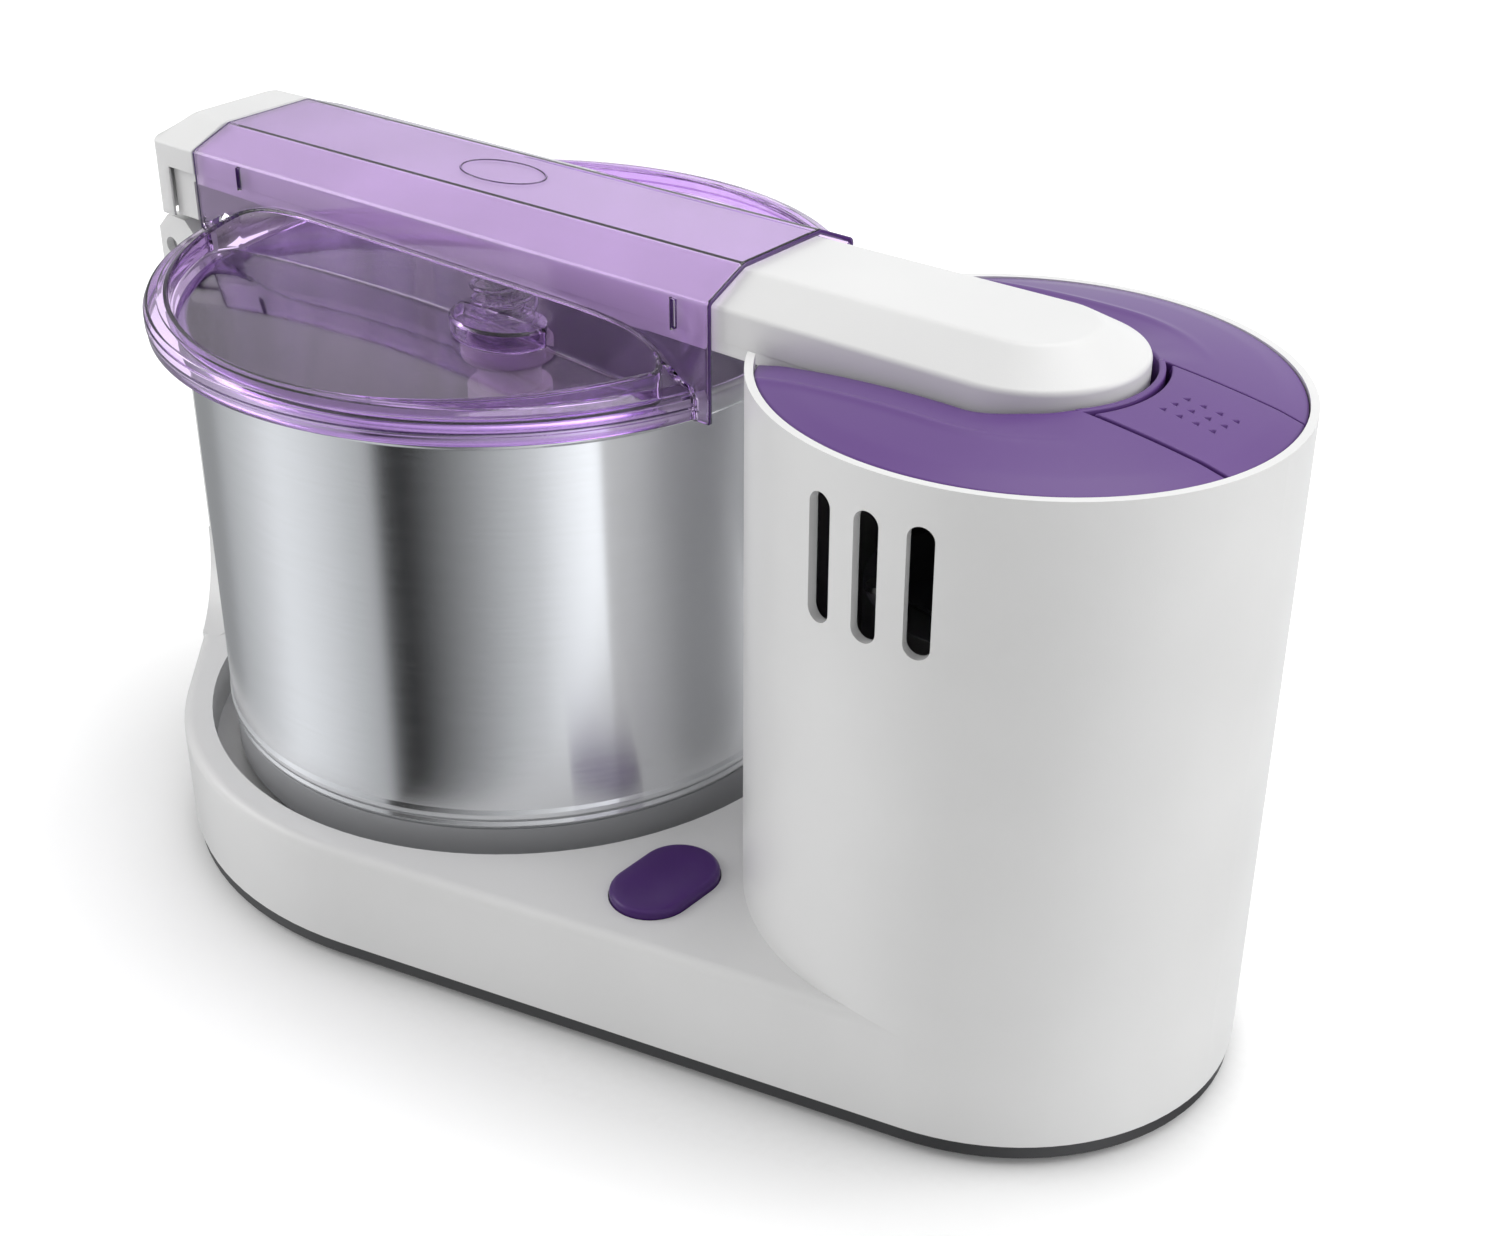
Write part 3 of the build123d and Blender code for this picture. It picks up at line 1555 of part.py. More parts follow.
def make_stone(rear):
    """A cone frustum that rolls on the stone floor along one straight line."""
    low = cone_inner_distance * cone_cosine
    high = cone_outer_distance * cone_cosine
    low_radius = cone_inner_distance * cone_sine
    high_radius = cone_outer_distance * cone_sine
    outline = [
        (stone_bore_radius, low),
        (low_radius, low),
        (high_radius - edge_break * cone_sine, high - edge_break * cone_cosine),
        (high_radius - edge_break * 2, high),
        (stone_bore_radius, high),
    ]
    return on_axle(turned(outline), rear)


def make_bush(rear):
    low = cone_inner_distance * cone_cosine - bush_flange * half
    high = cone_outer_distance * cone_cosine + bush_flange
    bush = ring(stone_bore_radius, axle_radius + running_clearance, low, high)
    return on_axle(bush, rear)


def make_axle_bolts():
    high = cone_outer_distance * cone_cosine + bush_flange + hub_gap
    bolt = disc(axle_radius, axle_start, high)
    head = disc(axle_head_radius, high, high + axle_head_length)
    bolt += chamfer(head.faces().sort_by(Axis.Z)[-1].edges(), edge_break)
    return [on_axle(bolt, False), on_axle(bolt, True)]


def make_roller_bracket():
    """A sleeve on the centre pin with two slanted axle bosses below and a cap on top."""
    low = stone_top_height + pin_flange_thickness + hub_gap
    cap_low = bracket_cap_height - stem_cap_depth
    sleeve = disc(bracket_sleeve_radius, low, bracket_cap_height)
    boss = disc(axle_boss_radius, axle_start * half, axle_boss_end)
    sleeve += on_axle(boss, False) + on_axle(boss, True)
    sleeve &= disc(drum_radius, low, bracket_cap_height)
    cap = disc(bracket_cap_radius, cap_low, bracket_cap_height)
    sleeve += chamfer(cap.edges(), edge_break)
    sleeve -= disc(centre_pin_radius + running_clearance, 0, centre_pin_height + overrun)
    hole = disc(axle_radius + running_clearance, axle_start - hub_gap, axle_boss_end + overrun)
    return sleeve - on_axle(hole, False) - on_axle(hole, True)


def make_scraper():
    """A ring on the sleeve, a bar to the right and a blade close to the drum's wall."""
    low = scraper_bar_height
    high = low + scraper_bar_depth
    inner = bracket_sleeve_radius + running_clearance
    clamp = ring(scraper_sleeve_radius, inner, low - scraper_bar_depth, high + scraper_bar_depth)
    wall = drum_radius - drum_wall - scraper_wall_gap
    half_width = scraper_bar_half_width
    bar = block(inner, wall - overrun, -half_width, half_width, low, high)
    bar -= disc(inner, low - overrun, high + overrun)
    blade_low = stone_top_height + scraper_bottom_gap
    blade = ring(wall, wall - scraper_blade_thickness, blade_low, high)
    keep = block(0, wall, -scraper_blade_half_width, scraper_blade_half_width, 0, high + overrun)
    return clamp + bar + (blade & keep)


def pieces():
    """Every node of the assembly with its solid or solids."""
    base, tower, post = shell_pieces()
    return {
        "base_shell": base,
        "tower_shell": tower,
        "hinge_post": post,
        "bottom_plate": make_bottom_plate(),
        "rubber_feet": make_rubber_feet(),
        "base_screws": make_base_screws(),
        "cord_gland": make_cord_gland(),
        "hinge_pin": make_hinge_pin(),
        "top_cover": make_top_cover(),
        "latch_frame": make_latch_frame(),
        "latch_catch": make_latch_catch(),
        "catch_spring": make_catch_spring(),
        "release_button": make_release_button(),
        "release_springs": make_release_springs(),
        "power_button": make_power_button(),
        "switch_body": make_switch_body(),
        "power_spring": make_power_spring(),
        "arm_top": make_arm_top(),
        "arm_lower": make_arm_lower(),
        "hinge_leg": make_hinge_leg(),
        "arm_screws": make_arm_screws(),
        "latch_hook": make_latch_hook(),
        "plunger_guide": make_plunger_guide(),
        "pressure_plunger": make_pressure_plunger(),
        "pressure_spring": make_pressure_spring(),
        "lid": make_lid(),
        "motor_bracket": make_motor_bracket(),
        "bracket_screws": make_bracket_screws(),
        "motor_lower_bell": motor_bell(bell_low, stator_low, True),
        "motor_upper_bell": motor_bell(stator_high, bell_high, False),
        "motor_stator": make_motor_stator(),
        "stator_windings": make_stator_windings(),
        "motor_tie_bolts": make_motor_tie_bolts(),
        "motor_rotor": make_motor_rotor(),
        "motor_shaft": make_motor_shaft(),
        "cooling_fan": make_cooling_fan(),
        "small_pulley": make_small_pulley(),
        "capacitor": make_capacitor(),
        "capacitor_clip": make_capacitor_clip(),
        "drive_belt": make_drive_belt(),
        "bearing_housing": make_bearing_housing(),
        "housing_bolts": make_housing_bolts(),
        "spindle_bearings": make_spindle_bearings(),
        "large_pulley": make_large_pulley(),
        "spindle": make_spindle(),
        "drive_plate": make_drive_plate(),
        "drum_base": make_drum_base(),
        "drum": make_drum(),
        "base_stone": make_base_stone(),
        "centre_pin": make_centre_pin(),
        "roller_bracket": make_roller_bracket(),
        "axle_bolts": make_axle_bolts(),
        "scraper": make_scraper(),
        "stone_front": make_stone(False),
        "stone_rear": make_stone(True),
        "bush_front": make_bush(False),
        "bush_rear": make_bush(True),
    }


def write_pieces():
    os.makedirs(parts_folder, exist_ok=True)
    for name, piece in pieces().items():
        solids = piece if isinstance(piece, list) else [piece]
        moved = [Pos(footprint_shift, 0, 0) * solid for solid in solids]
        whole = moved[0] if len(moved) == 1 else Compound(children=moved)
        export_step(whole, os.path.join(parts_folder, name + ".step"))


write_pieces()
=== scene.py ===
import json
import math

import bmesh
import bpy
import numpy as np
from mathutils import Matrix, Vector
from mathutils.geometry import delaunay_2d_cdt

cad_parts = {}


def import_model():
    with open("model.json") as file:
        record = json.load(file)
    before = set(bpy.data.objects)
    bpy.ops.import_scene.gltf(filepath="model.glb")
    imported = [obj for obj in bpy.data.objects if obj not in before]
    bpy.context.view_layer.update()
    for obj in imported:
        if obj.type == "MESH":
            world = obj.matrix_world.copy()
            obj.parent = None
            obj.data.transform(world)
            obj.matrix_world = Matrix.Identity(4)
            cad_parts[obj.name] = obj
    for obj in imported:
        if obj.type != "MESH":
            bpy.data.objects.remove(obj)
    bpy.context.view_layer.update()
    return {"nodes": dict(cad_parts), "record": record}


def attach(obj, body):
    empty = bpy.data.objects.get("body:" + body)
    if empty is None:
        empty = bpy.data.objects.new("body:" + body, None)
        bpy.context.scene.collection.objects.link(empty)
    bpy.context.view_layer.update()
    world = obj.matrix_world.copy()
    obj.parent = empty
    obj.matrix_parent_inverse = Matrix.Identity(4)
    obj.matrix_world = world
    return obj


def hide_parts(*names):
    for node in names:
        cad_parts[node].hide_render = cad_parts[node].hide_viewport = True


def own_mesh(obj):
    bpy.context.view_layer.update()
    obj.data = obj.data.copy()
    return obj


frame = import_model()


nodes = frame["nodes"]

# Sizes of the part in millimetres, about the drum's axis, with heights above the table
FRAME_SHIFT = -69.8
DRUM_RADIUS = 105.0
TOWER_DISTANCE = 204.9
TOWER_HALF_LENGTH = 80.7
TOWER_HALF_WIDTH = 76.6

# Camera, fitted to the photograph
CAMERA_PLACE = (507.24, -497.77, 474.17)
CAMERA_AZIMUTH = 38.885
CAMERA_ELEVATION = 29.798
CAMERA_ROLL = 0.239
CAMERA_LENS = 53.87
CAMERA_SENSOR = 36.0

# A millimetre in metres, and how many millimetres apart two points count as one
MM = 0.001
MERGE = 0.004

# A bare count in arc or linspace is the number of points along that line


# ---------------------------------------------------------------- helpers

def world(points):
    """Millimetres about the drum's axis turned into the frame's metres."""
    return (np.asarray(points, float) + (FRAME_SHIFT, 0.0, 0.0)) * MM


def grid_patch(grid):
    """A rectangular grid of points as points and four-cornered faces."""
    rows, columns = grid.shape[:2]
    index = np.arange(rows * columns).reshape(rows, columns)
    corners = [index[:-1, :-1], index[1:, :-1], index[1:, 1:], index[:-1, 1:]]
    return grid.reshape(-1, 3), np.stack(corners, axis=-1).reshape(-1, 4)


def flat_patch(loop, height):
    """A level face inside an outline, in triangles that use every point of it."""
    edges = [(place, (place + 1) % len(loop)) for place in range(len(loop))]
    result = delaunay_2d_cdt([Vector(point) for point in loop], edges, [], 4, 1e-6)
    plan = np.array([tuple(point) for point in result[0]])
    return np.column_stack([plan, np.full(len(plan), height)]), np.array(result[2])


def mirrored(patch):
    """The same patch on the other side of the part's middle plane."""
    points, faces = patch
    return points * (1, -1, 1), faces


def build(name, patches, body, slot, replaced=(), sharp=38.0, shell=0.0):
    """Joins patches into one mesh. Points that meet become one, so that seams and poles close,
    and the faces are turned outwards. Flat faces keep flat shading beside small fillets."""
    points, faces, start = [], [], 0
    for patch_points, patch_faces in patches:
        points.append(patch_points)
        faces += (patch_faces + start).tolist()
        start += len(patch_points)
    mesh = bpy.data.meshes.new(name)
    mesh.from_pydata(world(np.concatenate(points)).tolist(), [], faces)
    work = bmesh.new()
    work.from_mesh(mesh)
    bmesh.ops.remove_doubles(work, verts=work.verts, dist=MERGE * MM)
    bmesh.ops.recalc_face_normals(work, faces=work.faces)
    work.to_mesh(mesh)
    work.free()
    mesh.shade_smooth()
    mesh.set_sharp_from_angle(angle=math.radians(sharp))
    thing = bpy.data.objects.new(name, mesh)
    bpy.context.collection.objects.link(thing)
    if shell:
        skin = thing.modifiers.new("wall", "SOLIDIFY")
        skin.thickness = shell * MM
        skin.offset = -1.0
    normals = thing.modifiers.new("normals", "WEIGHTED_NORMAL")
    normals.keep_sharp = True
    thing.data.materials.append(MATERIALS[slot])
    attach(thing, body)
    if replaced:
        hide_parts(*replaced)
    return thing


def arc(centre, radius, start, end, count):
    """Points of a circle's arc, turns in degrees."""
    turns = np.radians(np.linspace(start, end, count))
    return np.asarray(centre) + radius * np.stack([np.cos(turns), np.sin(turns)], axis=-1)


def turned_patch(profile, steps):
    """A profile of radius and height turned a full circle about the drum's axis."""
    turns = np.radians(np.linspace(0, 360, steps + 1))[:, None]
    x, y = profile[:, 0] * np.cos(turns), profile[:, 0] * np.sin(turns)
    z = np.broadcast_to(profile[:, 1], x.shape)
    return grid_patch(np.stack([x, y, z], axis=-1))


def rounded(corners, steps=6):
    """A broken line whose corners are rounded: each corner is x, y and its radius."""
    corners = np.asarray(corners, float)
    points = [corners[0, :2]]
    for before, corner, after in zip(corners[:-2], corners[1:-1], corners[2:]):
        middle, radius = corner[:2], corner[2]
        if radius == 0:
            points.append(middle)
            continue
        back = (before[:2] - middle) / np.linalg.norm(before[:2] - middle)
        ahead = (after[:2] - middle) / np.linalg.norm(after[:2] - middle)
        half_angle = math.acos(np.clip(back @ ahead, -1, 1)) / 2
        inward = (back + ahead) / np.linalg.norm(back + ahead)
        centre = middle + inward * radius / math.sin(half_angle)
        leave = middle + back * radius / math.tan(half_angle) - centre
        reach = middle + ahead * radius / math.tan(half_angle) - centre
        whole = math.pi - 2 * half_angle
        share = np.linspace(0, 1, steps + 1)[:, None]
        arc_points = leave * np.sin((1 - share) * whole) + reach * np.sin(share * whole)
        points.extend(centre + arc_points / math.sin(whole))
    points.append(corners[-1, :2])
    return np.array(points)


def smooth(value):
    """Nought to one with level ends."""
    value = np.clip(value, 0, 1)
    return value * value * (3 - 2 * value)


# ---------------------------------------------------------------- materials

# Pattern scales: clouds and spark grain of moulded plastic, flow in clear plastic and on its
# cut edge, the drum's rings, the speckles and dust of granite, and the floor's paper fibre
CLOUD_SCALE = 14.0
SPARK_SCALE = 2600.0
FLOW_SCALE = 22.0
CUT_FLOW_SCALE = 60.0
RING_SCALE = 60.0
RING_STRETCH = (1.0, 1.0, 14.0)
SPECKLE_SCALE = 420.0
DUST_SCALE = 900.0
FIBRE_SCALE = 300.0
# Colours along a pattern's values: place, colour
RING_COLOURS = [(0.3, (0.85, 0.86, 0.88)), (0.7, (0.87, 0.88, 0.905))]
PAPER_COLOURS = [(0.3, (0.92, 0.92, 0.92)), (0.7, (0.94, 0.94, 0.94))]
GRANITE_COLOURS = [
    (0.0, (0.05, 0.05, 0.055)), (0.25, (0.16, 0.16, 0.17)),
    (0.6, (0.30, 0.30, 0.31)), (1.0, (0.52, 0.51, 0.50)),
]
WHITE_COLOUR = (0.76, 0.76, 0.757)
COAT_ROUGHNESS = 0.12
CLEAR_INDEX = 1.46
CLEAR_RELIEF = 0.0003
CLEAR_RELIEF_STRENGTH = 0.25
CLEAR_SHADOW = 0.35
BEVEL_SAMPLES = 6


def new_material(name):
    """An empty material with its node tree and shader."""
    material = bpy.data.materials.new(name)
    material.use_nodes = True
    tree = material.node_tree
    shader = tree.nodes["Principled BSDF"]
    return material, tree, shader


def object_place(tree, scale=(1.0, 1.0, 1.0)):
    """Object coordinates, scaled for stretched patterns."""
    place = tree.nodes.new("ShaderNodeTexCoord")
    mapping = tree.nodes.new("ShaderNodeMapping")
    mapping.inputs["Scale"].default_value = scale
    tree.links.new(place.outputs["Object"], mapping.inputs["Vector"])
    return mapping.outputs["Vector"]


def noise(tree, place, scale, detail=3.0, roughness=0.5):
    """A cloudy pattern."""
    node = tree.nodes.new("ShaderNodeTexNoise")
    node.inputs["Scale"].default_value = scale
    node.inputs["Detail"].default_value = detail
    node.inputs["Roughness"].default_value = roughness
    tree.links.new(place, node.inputs["Vector"])
    return node.outputs["Fac"]


def spread(tree, value, low, high, start=0.3, end=0.7):
    """A pattern's values carried to a range of another quantity."""
    node = tree.nodes.new("ShaderNodeMapRange")
    node.inputs["From Min"].default_value = start
    node.inputs["From Max"].default_value = end
    node.inputs["To Min"].default_value = low
    node.inputs["To Max"].default_value = high
    tree.links.new(value, node.inputs["Value"])
    return node.outputs["Result"]


def ramp(tree, value, stops):
    """A pattern's values turned into colours."""
    node = tree.nodes.new("ShaderNodeValToRGB")
    while len(node.color_ramp.elements) < len(stops):
        node.color_ramp.elements.new(0.5)
    for element, (place, colour) in zip(node.color_ramp.elements, stops):
        element.position = place
        element.color = (*colour, 1.0)
    tree.links.new(value, node.inputs["Fac"])
    return node.outputs["Color"]


def light_path_share(tree, outputs):
    """One for a ray of any of the kinds named."""
    path = tree.nodes.new("ShaderNodeLightPath")
    total = path.outputs[outputs[0]]
    for name in outputs[1:]:
        both = tree.nodes.new("ShaderNodeMath")
        both.operation = "MAXIMUM"
        tree.links.new(total, both.inputs[0])
        tree.links.new(path.outputs[name], both.inputs[1])
        total = both.outputs[0]
    return total


def bump(tree, shader, value, distance, strength=1.0, edge=None):
    """Fine relief, and a small radius on the edges where one is given."""
    node = tree.nodes.new("ShaderNodeBump")
    node.inputs["Distance"].default_value = distance
    node.inputs["Strength"].default_value = strength
    tree.links.new(value, node.inputs["Height"])
    if edge:
        bevel = tree.nodes.new("ShaderNodeBevel")
        bevel.samples = BEVEL_SAMPLES
        bevel.inputs["Radius"].default_value = edge
        tree.links.new(bevel.outputs["Normal"], node.inputs["Normal"])
    tree.links.new(node.outputs["Normal"], shader.inputs["Normal"])


def plastic(
    name, colour, roughness=0.36, grain=0.00002, edge=0.0005, coat=0.0, vary=0.03, gloss=0.5
):
    """Moulded plastic: a fine spark grain, slowly uneven gloss and a hint of colour drift."""
    material, tree, shader = new_material(name)
    place = object_place(tree)
    slow = noise(tree, place, CLOUD_SCALE, 2.0)
    fine = noise(tree, place, SPARK_SCALE, 2.0)
    light = tuple(min(1.0, channel * (1 + vary)) for channel in colour)
    dark = tuple(channel * (1 - vary) for channel in colour)
    tree.links.new(ramp(tree, slow, [(0.3, dark), (0.7, light)]), shader.inputs["Base Color"])
    tree.links.new(
        spread(tree, slow, roughness * 0.88, roughness * 1.12), shader.inputs["Roughness"]
    )
    shader.inputs["Specular IOR Level"].default_value = gloss
    shader.inputs["Coat Weight"].default_value = coat
    shader.inputs["Coat Roughness"].default_value = COAT_ROUGHNESS
    bump(tree, shader, fine, grain, edge=edge)
    return material


def metal(
    name, colour, roughness, stretch=(1.0, 1.0, 1.0), scale=400.0, relief=0.00001, edge=0.0004
):
    """Metal with fine tool or brush marks stretched along the work's direction."""
    material, tree, shader = new_material(name)
    place = object_place(tree, stretch)
    marks = noise(tree, place, scale, 4.0, 0.6)
    dark = tuple(channel * 0.93 for channel in colour)
    tree.links.new(ramp(tree, marks, [(0.3, dark), (0.7, colour)]), shader.inputs["Base Color"])
    shader.inputs["Metallic"].default_value = 1.0
    gloss = spread(tree, marks, roughness * 0.75, roughness * 1.25)
    tree.links.new(gloss, shader.inputs["Roughness"])
    bump(tree, shader, marks, relief, edge=edge)
    return material


def clear_plastic(name, colour, roughness=0.03):
    """Tinted clear plastic with faint moulding flow, which lets part of the light through its
    shadow."""
    material, tree, shader = new_material(name)
    place = object_place(tree)
    flow = noise(tree, place, FLOW_SCALE, 2.0)
    light = tuple(min(1.0, channel * 1.03) for channel in colour)
    dark = tuple(channel * 0.96 for channel in colour)
    tree.links.new(ramp(tree, flow, [(0.3, dark), (0.7, light)]), shader.inputs["Base Color"])
    gloss = spread(tree, flow, roughness * 0.6, roughness * 1.4)
    tree.links.new(gloss, shader.inputs["Roughness"])
    shader.inputs["Transmission Weight"].default_value = 1.0
    shader.inputs["IOR"].default_value = CLEAR_INDEX
    bump(tree, shader, flow, CLEAR_RELIEF, CLEAR_RELIEF_STRENGTH)
    in_shadow = light_path_share(tree, ("Is Shadow Ray",))
    shade = spread(tree, in_shadow, 1.0, CLEAR_SHADOW, 0.0, 1.0)
    tree.links.new(shade, shader.inputs["Alpha"])
    return material


def cut_edge(name, colour):
    """The cut edge of tinted clear plastic: dark, because light comes along inside the wall."""
    material, tree, shader = new_material(name)
    place = object_place(tree)
    flow = noise(tree, place, CUT_FLOW_SCALE, 2.0)
    dark = tuple(channel * 0.8 for channel in colour)
    tree.links.new(ramp(tree, flow, [(0.3, dark), (0.7, colour)]), shader.inputs["Base Color"])
    tree.links.new(spread(tree, flow, 0.12, 0.22), shader.inputs["Roughness"])
    return material


def drum_steel(name):
    """Steel polished round and round: its fine rings smear what it mirrors up and down."""
    material, tree, shader = new_material(name)
    rings = noise(tree, object_place(tree, RING_STRETCH), RING_SCALE, 5.0, 0.55)
    tree.links.new(ramp(tree, rings, RING_COLOURS), shader.inputs["Base Color"])
    shader.inputs["Metallic"].default_value = 1.0
    tree.links.new(spread(tree, rings, 0.185, 0.205), shader.inputs["Roughness"])
    shader.inputs["Anisotropic"].default_value = 1.0
    shader.inputs["Anisotropic Rotation"].default_value = 0.25
    return material


def granite(name):
    """Grey granite: each cell of a pattern is a speckle of one grey from dark to light."""
    material, tree, shader = new_material(name)
    place = object_place(tree)
    grain = tree.nodes.new("ShaderNodeTexVoronoi")
    grain.inputs["Scale"].default_value = SPECKLE_SCALE
    tree.links.new(place, grain.inputs["Vector"])
    speckle = tree.nodes.new("ShaderNodeSeparateColor")
    tree.links.new(grain.outputs["Color"], speckle.inputs["Color"])
    colours = ramp(tree, speckle.outputs["Red"], GRANITE_COLOURS)
    tree.links.new(colours, shader.inputs["Base Color"])
    fine = noise(tree, place, DUST_SCALE, 3.0)
    tree.links.new(spread(tree, fine, 0.5, 0.75), shader.inputs["Roughness"])
    bump(tree, shader, fine, 0.00015, edge=0.0008)
    return material


MATERIALS = {
    "white_plastic": plastic("white_plastic", WHITE_COLOUR),
    "purple_plastic": plastic(
        "purple_plastic", (0.120, 0.051, 0.225), 0.32, vary=0.05, gloss=0.28
    ),
    "button_plastic": plastic(
        "button_plastic", (0.062, 0.018, 0.140), 0.30, vary=0.05, gloss=0.3
    ),
    "clear_purple": clear_plastic("clear_purple", (0.755, 0.595, 0.88)),
    "dark_plastic": plastic("dark_plastic", (0.040, 0.040, 0.042), 0.45),
    "grey_ring": plastic("grey_ring", (0.40, 0.405, 0.42), 0.3, coat=0.2),
    "foot_rubber": plastic("foot_rubber", (0.02, 0.02, 0.02), 0.75, 0.00006),
    "belt_rubber": plastic("belt_rubber", (0.016, 0.016, 0.016), 0.7, 0.00008),
    "polished_steel": metal(
        "polished_steel", (0.78, 0.78, 0.79), 0.12, (1.0, 1.0, 0.06), 90.0, 0.000002
    ),
    "turned_steel": metal("turned_steel", (0.62, 0.62, 0.63), 0.28, (0.1, 0.1, 1.0), 900.0),
    "plated_steel": metal("plated_steel", (0.66, 0.66, 0.64), 0.32),
    "spring_steel": metal("spring_steel", (0.5, 0.5, 0.52), 0.25),
    "core_steel": metal("core_steel", (0.36, 0.36, 0.37), 0.45, (0.1, 0.1, 1.0), 1400.0),
    "cast_aluminium": metal("cast_aluminium", (0.60, 0.60, 0.61), 0.5, relief=0.00004),
    "copper": metal("copper", (0.75, 0.33, 0.14), 0.3, (1.0, 1.0, 0.2), 800.0),
    "granite": granite("granite"),
    "white_nylon": plastic("white_nylon", (0.72, 0.71, 0.68), 0.45),
    "bronze": metal("bronze", (0.62, 0.42, 0.20), 0.35),
    "capacitor_can": metal("capacitor_can", (0.68, 0.68, 0.69), 0.22, (1.0, 1.0, 0.1), 500.0),
}
DRUM_STEEL = drum_steel("drum_steel")
# The shell's three solids meet face to face: without rounded edges no seam shows there
WHITE_SHELL = plastic("white_shell", WHITE_COLOUR, edge=None)
CUT_EDGE = cut_edge("clear_purple_edge", (0.075, 0.022, 0.16))

node_slots = {row["node"]: row["material_slot"] for row in frame["record"]["subparts"]}
for node, thing in nodes.items():
    thing.data.materials.clear()
    thing.data.materials.append(MATERIALS[node_slots[node]])
for node in ("base_shell", "tower_shell", "hinge_post"):
    nodes[node].data.materials[0] = WHITE_SHELL


# ---------------------------------------------------------------- springs

# Each spring that a joint presses: its node, body, joint, still end, length and joint's travel
PRESSED_SPRINGS = (
    ("pressure_spring", "arm", "plunger_slide", 215.7, 31.1, 5.0),
    ("release_springs", "housing", "release_press", 196.5, 24.2, 3.0),
    ("power_spring", "housing", "power_press", 34.0, 12.5, 2.0),
)


def pressed_spring(node, body, joint, still_end, length, travel):
    """A copy of the coil on the body, in place of the node."""
    coil = bpy.data.objects.new(node + "_coil", nodes[node].data.copy())
    bpy.context.collection.objects.link(coil)
    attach(coil, body)
    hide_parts(node)
    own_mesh(coil)


for spring in PRESSED_SPRINGS:
    pressed_spring(*spring)


# ---------------------------------------------------------------- drum

DRUM_BOTTOM = 49.5
DRUM_TOP = 195.3
DRUM_WALL = 1.2
DRUM_HOLE = 5.05
DRUM_CORNER = 3.0
DRUM_BEAD = 0.45
DRUM_RIM_OUT = 108.0
DRUM_RIM_DEPTH = 8.0
DRUM_STEPS = 288
# The lower edge and its bead: place inside the wall, height over the bottom, corner radius
DRUM_FOOT = (
    (1.2, 0.0, 0.8), (0.0, 1.6, 0.9), (0.5, 3.4, 0.6),
    (-DRUM_BEAD, 4.6, 0.9), (-DRUM_BEAD, 6.4, 0.9), (0.0, 8.0, 1.5),
)
# The rolled rim: place outside the wall, depth under the top, corner radius
DRUM_RIM = (
    (0.0, DRUM_RIM_DEPTH, 0.3), (DRUM_RIM_OUT - DRUM_RADIUS, DRUM_RIM_DEPTH, 2.2),
    (DRUM_RIM_OUT - DRUM_RADIUS, 0.0, 2.6), (-DRUM_WALL, 0.0, 1.0),
)


def drum():
    """A steel pan: the profile runs out over the floor, round the lower edge and its pressed
    bead, up the wall, over the rolled rim and back down inside, and is turned a full circle."""
    floor = DRUM_BOTTOM + DRUM_WALL
    outline = [(DRUM_HOLE, DRUM_BOTTOM, 0)]
    outline += [(DRUM_RADIUS - inset, DRUM_BOTTOM + up, bend) for inset, up, bend in DRUM_FOOT]
    outline += [(DRUM_RADIUS + out, DRUM_TOP - depth, bend) for out, depth, bend in DRUM_RIM]
    outline += [
        (DRUM_RADIUS - DRUM_WALL, floor, DRUM_CORNER), (DRUM_HOLE, floor, 0),
        (DRUM_HOLE, DRUM_BOTTOM, 0),
    ]
    return turned_patch(rounded(outline), DRUM_STEPS)


pan = build("drum_pan", [drum()], "turntable", "polished_steel", ("drum",))
pan.modifiers.clear()
pan.data.materials[0] = DRUM_STEEL


# ---------------------------------------------------------------- arm

ARM_SIDE = 32.0
ARM_END = 207.0
ARM_LEFT = -138.0
ARM_SEAM = 220.0
ARM_TOP = 237.45
ARM_WALL = 1.0
# The arm's profile over its sides and over its hinge end: place, height, corner radius
ARM_SIDE_PROFILE = (
    (ARM_SIDE, ARM_SEAM, 0), (ARM_SIDE, 230.0, 1.8), (17.5, ARM_TOP, 6.0),
    (11.0, ARM_TOP, 0), (5.0, ARM_TOP, 0), (0, ARM_TOP, 0),
)
ARM_END_PROFILE = (
    (ARM_LEFT, ARM_SEAM, 0), (ARM_LEFT, 230.5, 3.5), (-134.0, ARM_TOP, 3.5),
    (-124.0, ARM_TOP, 0), (-121.0, ARM_TOP, 0), (-119.0, ARM_TOP, 0),
)
ARM_CORNER_LOW = 3.6
ARM_CORNER_HIGH = 2.6
CORNER_LEAD = 3.0
CORNER_LAST = 2.0
APRON_START = -129.3
APRON_LOW = 202.0
BLOCK_START = -114.5
BLOCK_STEP = 0.9
BLOCK_PROUD = 2.1
RISE = 0.0185
RISE_END = 118.0
RISE_HEIGHT = 17.4


def risen(points):
    """The arm and the lid's tunnel climb gently towards the tower. The climb grows with the
    height over the arm's seam, so the seam itself stays level."""
    height_share = np.clip((points[..., 2] - ARM_SEAM) / RISE_HEIGHT, 0, 1)
    lifted = np.array(points)
    lifted[..., 2] += RISE * (points[..., 0] - RISE_END) * height_share
    return lifted


